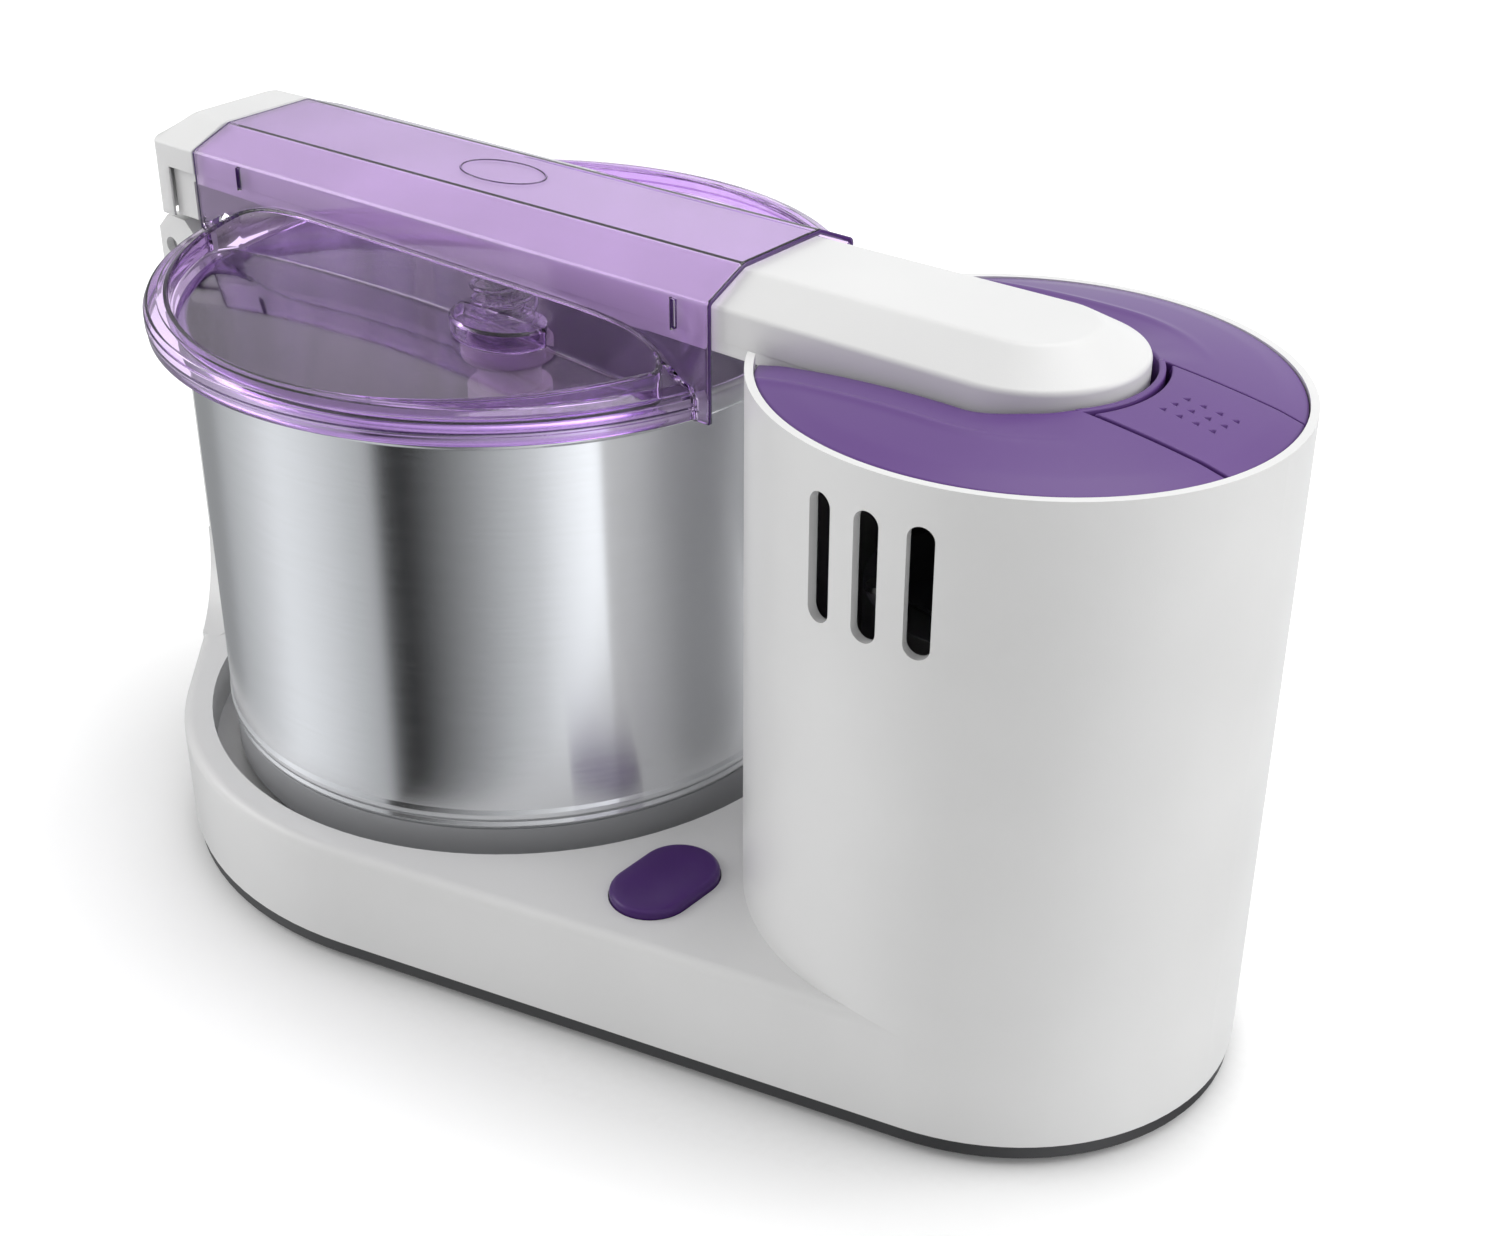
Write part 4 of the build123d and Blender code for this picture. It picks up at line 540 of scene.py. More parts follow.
def arm_ring(half_width, side_height, left, end_height, corner):
    """One ring round the arm: a half circle at the tower, straight sides, rounded corners and a
    straight hinge end. The height passes from the sides' to the end's over the corners."""
    tip = arc((ARM_END, 0), half_width, 0, -90, 40)
    turn = arc((left + corner, -half_width + corner), corner, -90, -180, 12)
    block_end = BLOCK_START - BLOCK_STEP
    reach = np.concatenate([
        np.linspace(ARM_END, BLOCK_START, 64)[1:],
        np.linspace(BLOCK_START, block_end, 7)[1:],
        np.linspace(block_end, max(APRON_START, left + corner + CORNER_LEAD), 5)[1:],
        [left + corner + CORNER_LAST],
    ])
    straight = np.column_stack([reach, np.full(len(reach), -half_width)])
    across = np.linspace(turn[-1], (left, 0.0), 16)[1:]
    share = smooth(np.concatenate([
        np.zeros(len(tip) + len(straight)), np.linspace(0, 1, len(turn)), np.ones(len(across))
    ]))
    height = side_height + (end_height - side_height) * share
    front = np.column_stack([np.concatenate([tip, straight, turn, across]), height])
    return np.concatenate([front, front[-2::-1] * (1, -1, 1)])


def arm_rings():
    """Level rings from the seam up to the flat top. The end block stands a step proud of the
    rest, to lie flush with the lid, and the whole climbs towards the tower."""
    side, end = rounded(ARM_SIDE_PROFILE), rounded(ARM_END_PROFILE)
    corners = np.linspace(ARM_CORNER_LOW, ARM_CORNER_HIGH, len(side))
    corners = np.minimum(corners, side[:, 0])
    rings = np.array([arm_ring(*row) for row in np.column_stack([side, end, corners])])
    block = smooth((BLOCK_START - rings[..., 0]) / BLOCK_STEP) * BLOCK_PROUD
    height_share = np.clip((rings[..., 2] - ARM_SEAM) / (ARM_TOP - ARM_SEAM), 0, 1)
    rings[..., 1] *= 1 + block / ARM_SIDE
    rings[..., 2] += block * height_share
    return risen(rings)


def hinge_apron(ring):
    """The end wall that drops from the seam over the hinge: the ring's left part run down."""
    lip = ring[ring[:, 0] <= APRON_START + MERGE]
    rows = [lip + (0, 0, drop) for drop in np.linspace(0, APRON_LOW - ARM_SEAM, 10)]
    return grid_patch(np.array(rows))


rings = arm_rings()
arm_patches = [grid_patch(rings), hinge_apron(rings[0])]
build("arm_top_shell", arm_patches, "arm", "white_plastic", ("arm_top",), 30.0, ARM_WALL)


# ---------------------------------------------------------------- tower's cover and its pad

COVER_GAP = 2.8
COVER_LENGTH = TOWER_HALF_LENGTH - COVER_GAP
COVER_WIDTH = TOWER_HALF_WIDTH - COVER_GAP
COVER_CROWN = 229.3
COVER_BALL = 400.0
COVER_SKIRT = 214.5
COVER_WALL = 2.0
COVER_EDGE = 0.9
RIM_FALL = 0.5
RIM_FALL_WIDTH = 9.0
TROUGH_SIDE = 34.0
TROUGH_FLOOR = 215.0
TROUGH_EDGE = 1.0
COLLAR_WIDTH = 2.0
COLLAR_EDGE = 0.5
VALLEY_DEPTH = 3.6
VALLEY_WIDTH = 15.5
VALLEY_BROW = 0.035
# How the valley deepens by the turn about the arm's end: start, spread in degrees, share
VALLEY_SHARES = ((36.0, 20.0, 0.25), (52.0, 42.0, 0.75))
BROW_HEIGHT = 0.5
BROW_WIDTH = 0.10
PAD_SIDE = 21.5
PAD_TURN = math.degrees(math.asin(PAD_SIDE / TROUGH_SIDE))
PAD_GAP = 0.5
PAD_FRONT = 20.3
PAD_INNER = 37.5
PAD_SKIRT = 3.6
PAD_WALL = 1.6
PAD_SIDE_EDGE = 0.5
PAD_INNER_EDGE = 0.6
PAD_RIM_EDGE = 0.7
GRIP_START = 250.5
GRIP_PITCH = 5.0
GRIP_LEAN = 0.8
GRIP_COLUMNS = 4
GRIP_ROWS = 3
GRIP_SIZE = 0.80
GRIP_DEPTH = 0.75
GRIP_SLOPE = 0.5
GRIP_TURNS = (0.35, 2.44, 4.54)
GRIP_FIELD_SIDE = 7.0
GRIP_FIELD_START = GRIP_START - 1.8
GRIP_FIELD_END = GRIP_START + 18.4


def edge_drop(distance, radius):
    """How far a rounded edge lies under the surface, by the distance from the edge."""
    near = radius - np.clip(distance, 0, radius)
    return radius - np.sqrt(radius ** 2 - near ** 2)


def cover_ellipse(x, y):
    """Distance from the cover's rim, inwards."""
    reach = np.hypot((x - TOWER_DISTANCE) / COVER_LENGTH, y / COVER_WIDTH)
    return (1 - reach) * np.hypot(x - TOWER_DISTANCE, y) / np.maximum(reach, 0.01)


def trough_distance(x, y):
    """Distance from the arm's trough: its sides are straight and its end is a half circle."""
    return np.where(x < ARM_END, np.abs(y), np.hypot(x - ARM_END, y)) - TROUGH_SIDE


def cover_height(x, y):
    """A shallow ball cap. Beside the arm it dips into a valley with a soft brow, which runs
    out where the pad begins, and near the rim it falls a little more."""
    cap = np.sqrt(COVER_BALL ** 2 - (x - TOWER_DISTANCE) ** 2 - y ** 2) + COVER_CROWN - COVER_BALL
    turn = np.degrees(np.arctan2(np.abs(y), np.maximum(x - ARM_END, 0.01)))
    valley = sum(share * smooth((turn - start) / wide) for start, wide, share in VALLEY_SHARES)
    rest = 1 - trough_distance(x, y) / VALLEY_WIDTH
    dip = VALLEY_DEPTH * valley * (rest + np.sqrt(rest ** 2 + VALLEY_BROW ** 2)) / 2
    brow = BROW_HEIGHT * valley * np.exp(-(rest / BROW_WIDTH) ** 2)
    fall = RIM_FALL * (1 - smooth(cover_ellipse(x, y) / RIM_FALL_WIDTH))
    return cap - dip + brow - fall


def along(path, share):
    """Points at the given shares of a line's length."""
    steps = np.hypot(*np.diff(path, axis=0).T)
    place = np.concatenate([[0], np.cumsum(steps)]) / steps.sum()
    return np.stack([np.interp(share, place, path[:, axis]) for axis in (0, 1)], axis=-1)


def ruled(low, high, shares):
    """Lines from one row of points to another, at the given shares."""
    shares = np.asarray(shares)[:, None, None]
    return low[None] * (1 - shares) + high[None] * shares


def wall_below(edge, low):
    """An upright wall from an edge line down to one height."""
    foot = edge * (1, 1, 0) + (0, 0, low)
    return grid_patch(ruled(edge, foot, np.linspace(0, 1, 6)))


def cover_rim(turns):
    """Points of the cover's rim, an ellipse about the tower's middle, at the given turns."""
    return np.stack([
        TOWER_DISTANCE + COVER_LENGTH * np.cos(turns), COVER_WIDTH * np.sin(turns)
    ], axis=-1)


def cover_top():
    """The front half between the trough's edge and the rim: lines ruled from one to the
    other, with all edges rounded by their distance, and short walls below the edges."""
    share = 1 - (1 - np.linspace(0, 1, 170)) ** 1.5
    first = math.asin(TROUGH_SIDE / COVER_WIDTH) - math.pi
    last = -math.asin(PAD_SIDE / COVER_WIDTH)
    outer_path = cover_rim(np.linspace(first, last, 800))
    inner_path = np.concatenate([
        np.linspace(outer_path[0], (ARM_END, -TROUGH_SIDE), 200)[:-1],
        arc((ARM_END, 0), TROUGH_SIDE, -90, -PAD_TURN, 200),
    ])
    inner, outer = along(inner_path, share), along(outer_path, share)
    across = 0.5 - 0.5 * np.cos(np.linspace(0, math.pi, 64))
    plan = ruled(inner, outer, across).transpose(1, 0, 2)
    x, y = plan[..., 0], plan[..., 1]
    height = cover_height(x, y) - edge_drop(cover_ellipse(x, y), COVER_EDGE)
    height -= edge_drop(trough_distance(x, y), TROUGH_EDGE)
    height -= edge_drop(-y - PAD_SIDE, PAD_SIDE_EDGE)
    top = np.dstack([x, y, height])
    return [
        grid_patch(top),
        wall_below(top[:, -1], COVER_SKIRT),
        wall_below(top[:, 0], TROUGH_FLOOR),
        wall_below(top[-1], TROUGH_FLOOR),
    ]


def cover_trough():
    """The trough's floor under the arm, a level strip with a round end."""
    tip = arc((ARM_END, 0), TROUGH_SIDE, -90, 90, 60)
    turns = np.arcsin(np.linspace(TROUGH_SIDE, -TROUGH_SIDE, 30) / COVER_WIDTH)
    mouth = cover_rim(math.pi - turns)
    return flat_patch(np.concatenate([tip, mouth[:-1]]), TROUGH_FLOOR)


def cover_collar():
    """The strip that goes on round the arm's end between the trough and the pad's slot."""
    rows = []
    for width in COLLAR_WIDTH / 2 * (1 - np.cos(np.linspace(0, math.pi, 14))):
        line = arc((ARM_END, 0), TROUGH_SIDE + width, -PAD_TURN, PAD_TURN, 60)
        fall = edge_drop(min(width, COLLAR_WIDTH - width), COLLAR_EDGE)
        rows.append(np.column_stack([line, cover_height(line[:, 0], line[:, 1]) - fall]))
    top = np.array(rows)
    walls = [wall_below(line, TROUGH_FLOOR) for line in (top[0], top[-1])]
    return [grid_patch(top)] + walls


cover_patches = cover_top()
cover_patches += [mirrored(patch) for patch in cover_patches] + [cover_trough()]
cover_patches += cover_collar()
build(
    "tower_cover", cover_patches, "housing", "purple_plastic", ("top_cover",), 50.0, COVER_WALL
)


def grip_marks(x, y):
    """Depth of twelve small three-cornered grips in three rows."""
    depth = np.zeros_like(x)
    for column in range(GRIP_COLUMNS):
        for row in range(GRIP_ROWS):
            along_x = x - (GRIP_START + column * GRIP_PITCH + row * GRIP_LEAN)
            along_y = y - (row - 1) * GRIP_PITCH
            sides = [along_x * math.cos(turn) + along_y * math.sin(turn) for turn in GRIP_TURNS]
            inside = GRIP_SIZE - np.max(sides, axis=0)
            depth = np.maximum(depth, GRIP_DEPTH * smooth(inside / GRIP_SLOPE))
    return depth


def pad_top():
    """The release pad: lines from its round inner end out to the rim, edges rounded by their
    distance, with the grips pressed into it and a wall down on all four sides."""
    side = PAD_SIDE - PAD_GAP
    fine = np.linspace(-GRIP_FIELD_SIDE, GRIP_FIELD_SIDE, 85)
    coarse = side - (side - GRIP_FIELD_SIDE) * np.linspace(0, 1, 22)[:-1] ** 1.6
    y = np.concatenate([-coarse * PAD_FRONT / side, fine, coarse[::-1]])
    start = ARM_END + np.sqrt(PAD_INNER ** 2 - y ** 2)
    rim_length, rim_width = COVER_LENGTH - PAD_GAP / 2, COVER_WIDTH - PAD_GAP / 2
    end = TOWER_DISTANCE + rim_length * np.sqrt(1 - (y / rim_width) ** 2)
    first = np.linspace(0, 1, 14)[:-1] ** 1.6
    middle = np.linspace(GRIP_FIELD_START, GRIP_FIELD_END, 120)
    last = 1 - np.linspace(1, 0, 26)[1:] ** 1.5
    lead = start[:, None] + (middle[0] - start[:, None]) * first[None, :]
    tail = middle[-1] + (end[:, None] - middle[-1]) * last[None, :]
    x = np.concatenate([lead, np.broadcast_to(middle, (len(y), len(middle))), tail], axis=1)
    y = np.broadcast_to(y[:, None], x.shape)
    height = cover_height(x, y) - grip_marks(x, y)
    height -= edge_drop(np.where(y < 0, PAD_FRONT + y, side - y), PAD_SIDE_EDGE)
    height -= edge_drop(np.hypot(x - ARM_END, y) - PAD_INNER, PAD_INNER_EDGE)
    height -= edge_drop(cover_ellipse(x, y) - PAD_GAP / 2, PAD_RIM_EDGE)
    top = np.dstack([x, y, height])
    edges = (top[0], top[-1], top[:, 0], top[:, -1])
    return [grid_patch(top)] + [wall_below(line, TROUGH_FLOOR + PAD_SKIRT) for line in edges]


build("release_pad", pad_top(), "release", "purple_plastic", ("release_button",), 50.0, PAD_WALL)


# ---------------------------------------------------------------- power button

BUTTON_PLACE = (124.0, -65.0)
BUTTON_WIDTH = 26.6
BUTTON_LENGTH = 40.0
BUTTON_TOP = 48.8
BUTTON_LOW = 41.0
BUTTON_SIDE_TOP = 46.4
BUTTON_EDGE = 1.5
BUTTON_DISH = 0.9
BUTTON_WALL = 1.6


def oblong(width, length, inset):
    """An oblong loop with round ends: its long side runs along Y."""
    radius = max(width / 2 - inset, 0.0)
    straight = (length - width) / 2
    upper = arc((0, straight), radius, 0, 180, 40)
    lower = arc((0, -straight), radius, 180, 360, 40)
    return np.concatenate([upper, lower, upper[:1]])


def power_button():
    """An oblong cap: the wall rises to a rounded edge, and the top is dished."""
    edge = BUTTON_EDGE
    rows = [(0.0, BUTTON_LOW), (0.0, BUTTON_SIDE_TOP)]
    for turn in np.radians(np.linspace(0, 90, 8)):
        rows.append((edge * (1 - math.cos(turn)), BUTTON_TOP - edge * (1 - math.sin(turn))))
    for share in np.linspace(0, 1, 18)[1:]:
        dish = BUTTON_DISH * math.sin(share * math.pi / 2) ** 2
        rows.append((edge + (BUTTON_WIDTH / 2 - edge) * share, BUTTON_TOP - dish))
    grid = []
    for inset, height in rows:
        loop = oblong(BUTTON_WIDTH, BUTTON_LENGTH, inset) + BUTTON_PLACE
        grid.append(np.column_stack([loop, np.full(len(loop), height)]))
    return grid_patch(np.array(grid))


build(
    "power_cap", [power_button()], "power", "button_plastic", ("power_button",), 50.0, BUTTON_WALL
)


# ---------------------------------------------------------------- lid

LID_SIDE = 35.0
LID_LEFT_END = -113.6
LID_RIGHT_END = 118.0
LID_LAND_RING = 113.0
LID_RIM = 117.5
LID_TOP = 239.5
LID_WALL = 1.5
LID_EDGE = 1.2
LAND_LEVEL = 45.0
LAND_TOP = 219.0
LAND_LOW = 204.0
LAND_SHIFT = 0.07
LAND_FRONT = 1.035
POCKET_SIDE = 36.5
POCKET_RADIUS = 109.0
POCKET_LEFT_CORNER = 8.0
POCKET_RIGHT_CORNER = 3.5
POCKET_MIDDLE = (0.0, -66.0)
PANEL_TOP = 203.6
PANEL_BALL = 1025.0
PANEL_FILLET = 1.0
FOOT_EVEN = 75.0
SLOT_LOW = 220.8
SLOT_HIGH = 230.0
SLOTS = ((-91.0, -89.2), (103.6, 105.4))
# The rim's outline from the land outwards and down: reach, height, corner radius
RIM_PROFILE = (
    (LID_LAND_RING, LAND_LOW, 0), (116.4, 202.7, 1.4), (LID_RIM, 200.4, 0.8),
    (LID_RIM, 196.9, 0.35), (117.0, 196.3, 0.35), (117.0, 193.5, 0),
)
# Half of the tunnel's arch over the arm: place across, height, corner radius
ARCH_PROFILE = (
    (-LID_SIDE, SLOT_HIGH, 0), (-LID_SIDE, 232.0, 2.6), (-18.3, LID_TOP, 4.0), (0, LID_TOP, 0),
)
WALL_ROWS = 7
SLOT_ROWS = 4
FLAP_STEPS = 4
# Shares of the way from the pocket's outline to the rim and to the panel's middle, closest
# together at the rounded edge
LAND_SHARES = np.unique(np.concatenate([
    1 - np.cos(np.linspace(0, 0.42, 8)), np.linspace(0.1, 1, 11)
]))
PANEL_SHARES = np.concatenate([
    1 - np.cos(np.linspace(0, 0.30, 8)), np.linspace(0.06, 1, 11)
])


def land_height(x, y):
    """The lid's land: level near the middle, then falling with the fifth power of the distance
    to the rim. The level part lies a little towards the tower, and in front and behind the
    fall begins earlier."""
    radius = np.hypot(x, y * LAND_FRONT)
    shift = LAND_SHIFT * x * (1 - np.clip(radius / LID_LAND_RING, 0, 1) ** 8)
    share = np.clip((radius - shift - LAND_LEVEL) / (LID_LAND_RING - LAND_LEVEL), 0, 1)
    return LAND_TOP - (LAND_TOP - LAND_LOW) * share ** 5


def panel_height(x, y):
    """The sunk panels are caps of one large ball."""
    return PANEL_TOP - (x ** 2 + y ** 2) / (2 * PANEL_BALL)


def corner_place(radius):
    """How far along the tunnel a pocket's corner of this radius has its centre."""
    return math.sqrt((POCKET_RADIUS - radius) ** 2 - (POCKET_SIDE + radius) ** 2)


def pocket_line():
    """The pocket's outline away from the tunnel: a wide arc between two corners."""
    left, right = corner_place(POCKET_LEFT_CORNER), corner_place(POCKET_RIGHT_CORNER)
    left_y, right_y = -POCKET_SIDE - POCKET_LEFT_CORNER, -POCKET_SIDE - POCKET_RIGHT_CORNER
    left_turn = 180 + math.degrees(math.atan2(-left_y, left))
    right_turn = 360 - math.degrees(math.atan2(-right_y, right))
    return np.concatenate([
        arc((-left, left_y), POCKET_LEFT_CORNER, 90, left_turn, 26),
        arc((0, 0), POCKET_RADIUS, left_turn, right_turn, 170)[1:-1],
        arc((right, right_y), POCKET_RIGHT_CORNER, right_turn - 360, 90, 26),
    ])


def lid_ring(radius):
    """An arc about the drum's axis from one end of the tunnel's side to the other, with a
    point for each point of the pocket's line, spaced as their turns are."""
    line = pocket_line()
    turn = np.degrees(np.arctan2(line[:, 1], line[:, 0])) % 360
    share = (turn - turn[0]) / (turn[-1] - turn[0])
    open_turn = math.degrees(math.asin(LID_SIDE / radius))
    turns = np.radians(180 + open_turn + share * (180 - 2 * open_turn))
    return radius * np.stack([np.cos(turns), np.sin(turns)], axis=-1)


def tunnel_foot():
    """Places along the tunnel's foot from one end of the land to the other, the slots' too."""
    end = lid_ring(LID_LAND_RING)[-1, 0]
    return np.unique(np.concatenate([np.linspace(-end, end, 120), *SLOTS]))


def lid_loops():
    """The pocket's closed outline, the land's round it, point for point, and which of the
    points lie on the pocket's line, away from the tunnel."""
    line, ring, foot = pocket_line(), lid_ring(LID_LAND_RING), tunnel_foot()
    inner_foot = np.interp(
        foot,
        (foot[0], -FOOT_EVEN, FOOT_EVEN, foot[-1]),
        (line[0, 0], -FOOT_EVEN, FOOT_EVEN, line[-1, 0]),
    )
    pocket_side = np.column_stack([inner_foot, np.full(len(foot), -POCKET_SIDE)])
    lid_side = np.column_stack([foot, np.full(len(foot), -LID_SIDE)])
    pocket = np.concatenate([line, pocket_side[-2::-1]])
    return pocket, np.concatenate([ring, lid_side[-2::-1]]), np.arange(len(pocket)) < len(line)


def lid_land(pocket, outside, on_line):
    """The land: lines ruled from the pocket's outline outwards, with a rounded edge there.
    Beside the tunnel the distance from that edge is measured straight across."""
    even = np.linspace(0, 1, len(LAND_SHARES))
    shares = np.where(on_line, LAND_SHARES[:, None], even[:, None])[..., None]
    plan = pocket[None] * (1 - shares) + outside[None] * shares
    from_line = np.hypot(*(plan - pocket[None]).transpose(2, 0, 1))
    from_edge = np.where(on_line, from_line, np.abs(plan[..., 1] + POCKET_SIDE))
    height = land_height(plan[..., 0], plan[..., 1]) - edge_drop(from_edge, LID_EDGE)
    return np.dstack([plan, height])


def lid_panel(pocket):
    """The sunk panel: lines from the pocket's outline to its middle, with a fillet round it."""
    plan = ruled(pocket, np.broadcast_to(np.array(POCKET_MIDDLE), pocket.shape), PANEL_SHARES)
    fillet = edge_drop(np.hypot(*(plan - pocket[None]).transpose(2, 0, 1)), PANEL_FILLET)
    return np.dstack([plan, panel_height(plan[..., 0], plan[..., 1]) + fillet])


def lid_rim():
    """Rows of the rim from the land to its lip, and the row at which it stands upright."""
    profile = rounded(RIM_PROFILE, 4)
    rings = [(lid_ring(reach), level) for reach, level in profile]
    rows = [np.column_stack([ring, np.full(len(ring), level)]) for ring, level in rings]
    return np.array(rows), int(np.argmax(profile[:, 0] > LID_RIM - 0.01))


def end_columns(over_rim, end):
    """Places and foot heights of the tunnel's side from its end over the rim to the land."""
    flap = np.linspace(end, over_rim[0, 0], FLAP_STEPS + 1)[:-1]
    x = np.concatenate([flap, over_rim[:, 0]])
    return x, np.concatenate([np.full(FLAP_STEPS, over_rim[0, 2]), over_rim[:, 2]])


def lid_tunnel(rim, upright):
    """Half of the tunnel over the arm: one profile carried along, whose foot follows the rim
    and the land. Two narrow slots are left open in its side."""
    left_x, left_foot = end_columns(rim[upright:0:-1, 0], LID_LEFT_END)
    right_x, right_foot = end_columns(rim[upright:0:-1, -1], LID_RIGHT_END)
    land_x = tunnel_foot()
    place = np.concatenate([left_x, land_x, right_x[::-1]])
    foot = np.concatenate([left_foot, land_height(land_x, -LID_SIDE), right_foot[::-1]])
    arch = rounded(ARCH_PROFILE)[1:]
    above = np.concatenate([np.linspace(SLOT_LOW, SLOT_HIGH, SLOT_ROWS + 1)[1:], arch[:, 1]])
    lower = foot + (SLOT_LOW - foot) * np.linspace(0, 1, WALL_ROWS)[:, None]
    height = np.concatenate([lower, np.broadcast_to(above[:, None], (len(above), len(foot)))])
    side = np.concatenate([np.full(WALL_ROWS + SLOT_ROWS, -LID_SIDE), arch[:, 0]])[:, None]
    points, faces = grid_patch(risen(np.dstack([
        np.broadcast_to(place, height.shape), np.broadcast_to(side, height.shape), height
    ])))
    middle = points[faces][..., 0].mean(axis=1)
    row = np.arange(len(faces)) // (len(foot) - 1)
    slot_rows = (row >= WALL_ROWS - 1) & (row < WALL_ROWS - 1 + SLOT_ROWS)
    in_slot = np.any([(middle > start) & (middle < end) for start, end in SLOTS], axis=0)
    return points, faces[~(slot_rows & in_slot)]


def lid_flap(rim_end, end):
    """The tunnel's side past the rim, below the rim's upright: straight from end to rim."""
    ends = np.column_stack([np.full(len(rim_end), end), rim_end[:, 1:]])
    shares = np.linspace(0, 1, FLAP_STEPS + 1)
    return grid_patch(ruled(ends, rim_end, shares).transpose(1, 0, 2))


def lid_patches():
    """The lid's outer skin, one half in front of the tunnel and the same behind it: the land
    round a pocket, the rim, the pocket's wall, its panel, the tunnel and its two flaps."""
    pocket, outside, on_line = lid_loops()
    land, panel = lid_land(pocket, outside, on_line), lid_panel(pocket)
    wall = ruled(panel[0], land[0], np.linspace(0, 1, 4))
    rim, upright = lid_rim()
    front = [grid_patch(part) for part in (land, rim, wall, panel)]
    front += [
        lid_tunnel(rim, upright),
        lid_flap(rim[upright:, 0], LID_LEFT_END),
        lid_flap(rim[upright:, -1], LID_RIGHT_END),
    ]
    return front + [mirrored(patch) for patch in front]


lid = build("lid_shell", lid_patches(), "lid", "clear_purple", ("lid",), 40.0, LID_WALL)
lid.data.materials.append(CUT_EDGE)
lid.modifiers["wall"].material_offset_rim = 1


LUG_PLACE = (35.5, -36.56)
LUG_TOP = 208.0
LUG_EDGE = 1.0
LUG_SIZE = np.array((18.5, 15.0))
LUG_SEAT = 0.06


def lid_lug():
    """The half oval lug that stands on the front panel against the tunnel: an upright wall,
    a rounded edge and a level top."""
    turns = np.radians(np.linspace(180, 360, 60))
    unit = np.stack([np.cos(turns), np.sin(turns)], axis=-1)
    foot = unit * LUG_SIZE + LUG_PLACE
    floor = panel_height(foot[:, 0], foot[:, 1]) + LUG_SEAT
    edge_low = LUG_TOP - LUG_EDGE
    rows = [(foot, floor + (edge_low - floor) * share) for share in np.linspace(0, 1, 6)]
    for turn in np.radians(np.linspace(0, 90, 8))[1:]:
        line = unit * (LUG_SIZE - LUG_EDGE * (1 - math.cos(turn))) + LUG_PLACE
        rows.append((line, np.full(len(line), edge_low + LUG_EDGE * math.sin(turn))))
    for share in np.linspace(1, 0, 8)[1:]:
        line = unit * ((LUG_SIZE - LUG_EDGE) * share) + LUG_PLACE
        rows.append((line, np.full(len(line), LUG_TOP)))
    return grid_patch(np.array([np.column_stack(row) for row in rows]))


build("lid_lug", [lid_lug()], "lid", "clear_purple", (), 40.0, LID_WALL)


OVAL_PLACE = 2.0
OVAL_LENGTH = 17.0
OVAL_WIDTH = 9.5
OVAL_BEAD = 0.45
OVAL_HEIGHT = 0.36
OVAL_SEAT = 0.08


def lid_oval():
    """A plain raised oval line on the tunnel's top: a half round bead run along an ellipse,
    closed by a flat strip under it."""
    turns = np.radians(np.linspace(0, 360, 129))[:, None]
    bead = np.radians(np.linspace(0, 180, 9))[None, :]
    reach = OVAL_BEAD * np.cos(bead)
    x = OVAL_PLACE + (OVAL_LENGTH + reach) * np.cos(turns)
    y = (OVAL_WIDTH + reach) * np.sin(turns)
    z = np.broadcast_to(LID_TOP - OVAL_SEAT + OVAL_HEIGHT * np.sin(bead), x.shape)
    ring = risen(np.dstack([x, y, z]))
    return [grid_patch(ring), grid_patch(ring[:, ::8])]


build("lid_oval", lid_oval(), "lid", "clear_purple", (), 50.0)


# ---------------------------------------------------------------- studio

# What a mirror sees round the table: heading in degrees, brightness
STUDIO_BANDS = (
    (-180, 0.44), (-168, 0.50), (-153, 0.66), (-141, 0.86), (-127, 0.76), (-116, 0.63),
    (-107, 0.50), (-97.5, 0.40), (-96, 0.0), (-88, 0.0), (-85, 0.02), (-78, 0.10),
    (-69, 0.21), (-60, 0.32), (-49, 0.48), (-38, 0.64), (-27, 0.95), (-16, 1.22),
    (-4, 1.05), (8, 0.80), (26, 0.33), (41, 0.09), (58, 0.08), (80, 0.45),
    (105, 0.95), (130, 0.85), (150, 0.35), (165, 0.30),
)
BAND_TINT = (0.96, 0.98, 1.0)
BAND_TOP = 0.20
BAND_FADE = 0.55
# The floor's own light, weak close round the machine so that it paints a shade on the paper
# there: distance from the middle in half sizes of the machine, strength
FLOOR_GLOW_WITH_PAINTED_SHADE = ((1.0, 0.05), (1.3, 0.20), (1.7, 0.30), (10.0, 0.60))
FLOOR_LIFT_REACH = 10.0
FLOOR_SIZE = 6.0
MACHINE_HALF_LENGTH = 0.216
MACHINE_HALF_WIDTH = 0.123
WORLD_STRENGTH = 0.53
WHITE = (1.0, 1.0, 1.0, 1.0)
SEEN_RAYS = ("Is Camera Ray", "Is Transmission Ray")
# Lamps in metres: name, place, width, height, watts
LAMPS = (
    ("top_box", (0.15, 0.65, 1.8), 1.5, 1.1, 13.5),
    ("left_box", (-1.3, -0.8, 0.9), 1.0, 1.0, 9.2),
    ("right_box", (1.3, 0.8, 0.9), 1.0, 1.2, 12.0),
)
LAMP_TARGET = (0.0, 0.0, 0.1)

scene = bpy.context.scene
scene.view_settings.view_transform = "Standard"


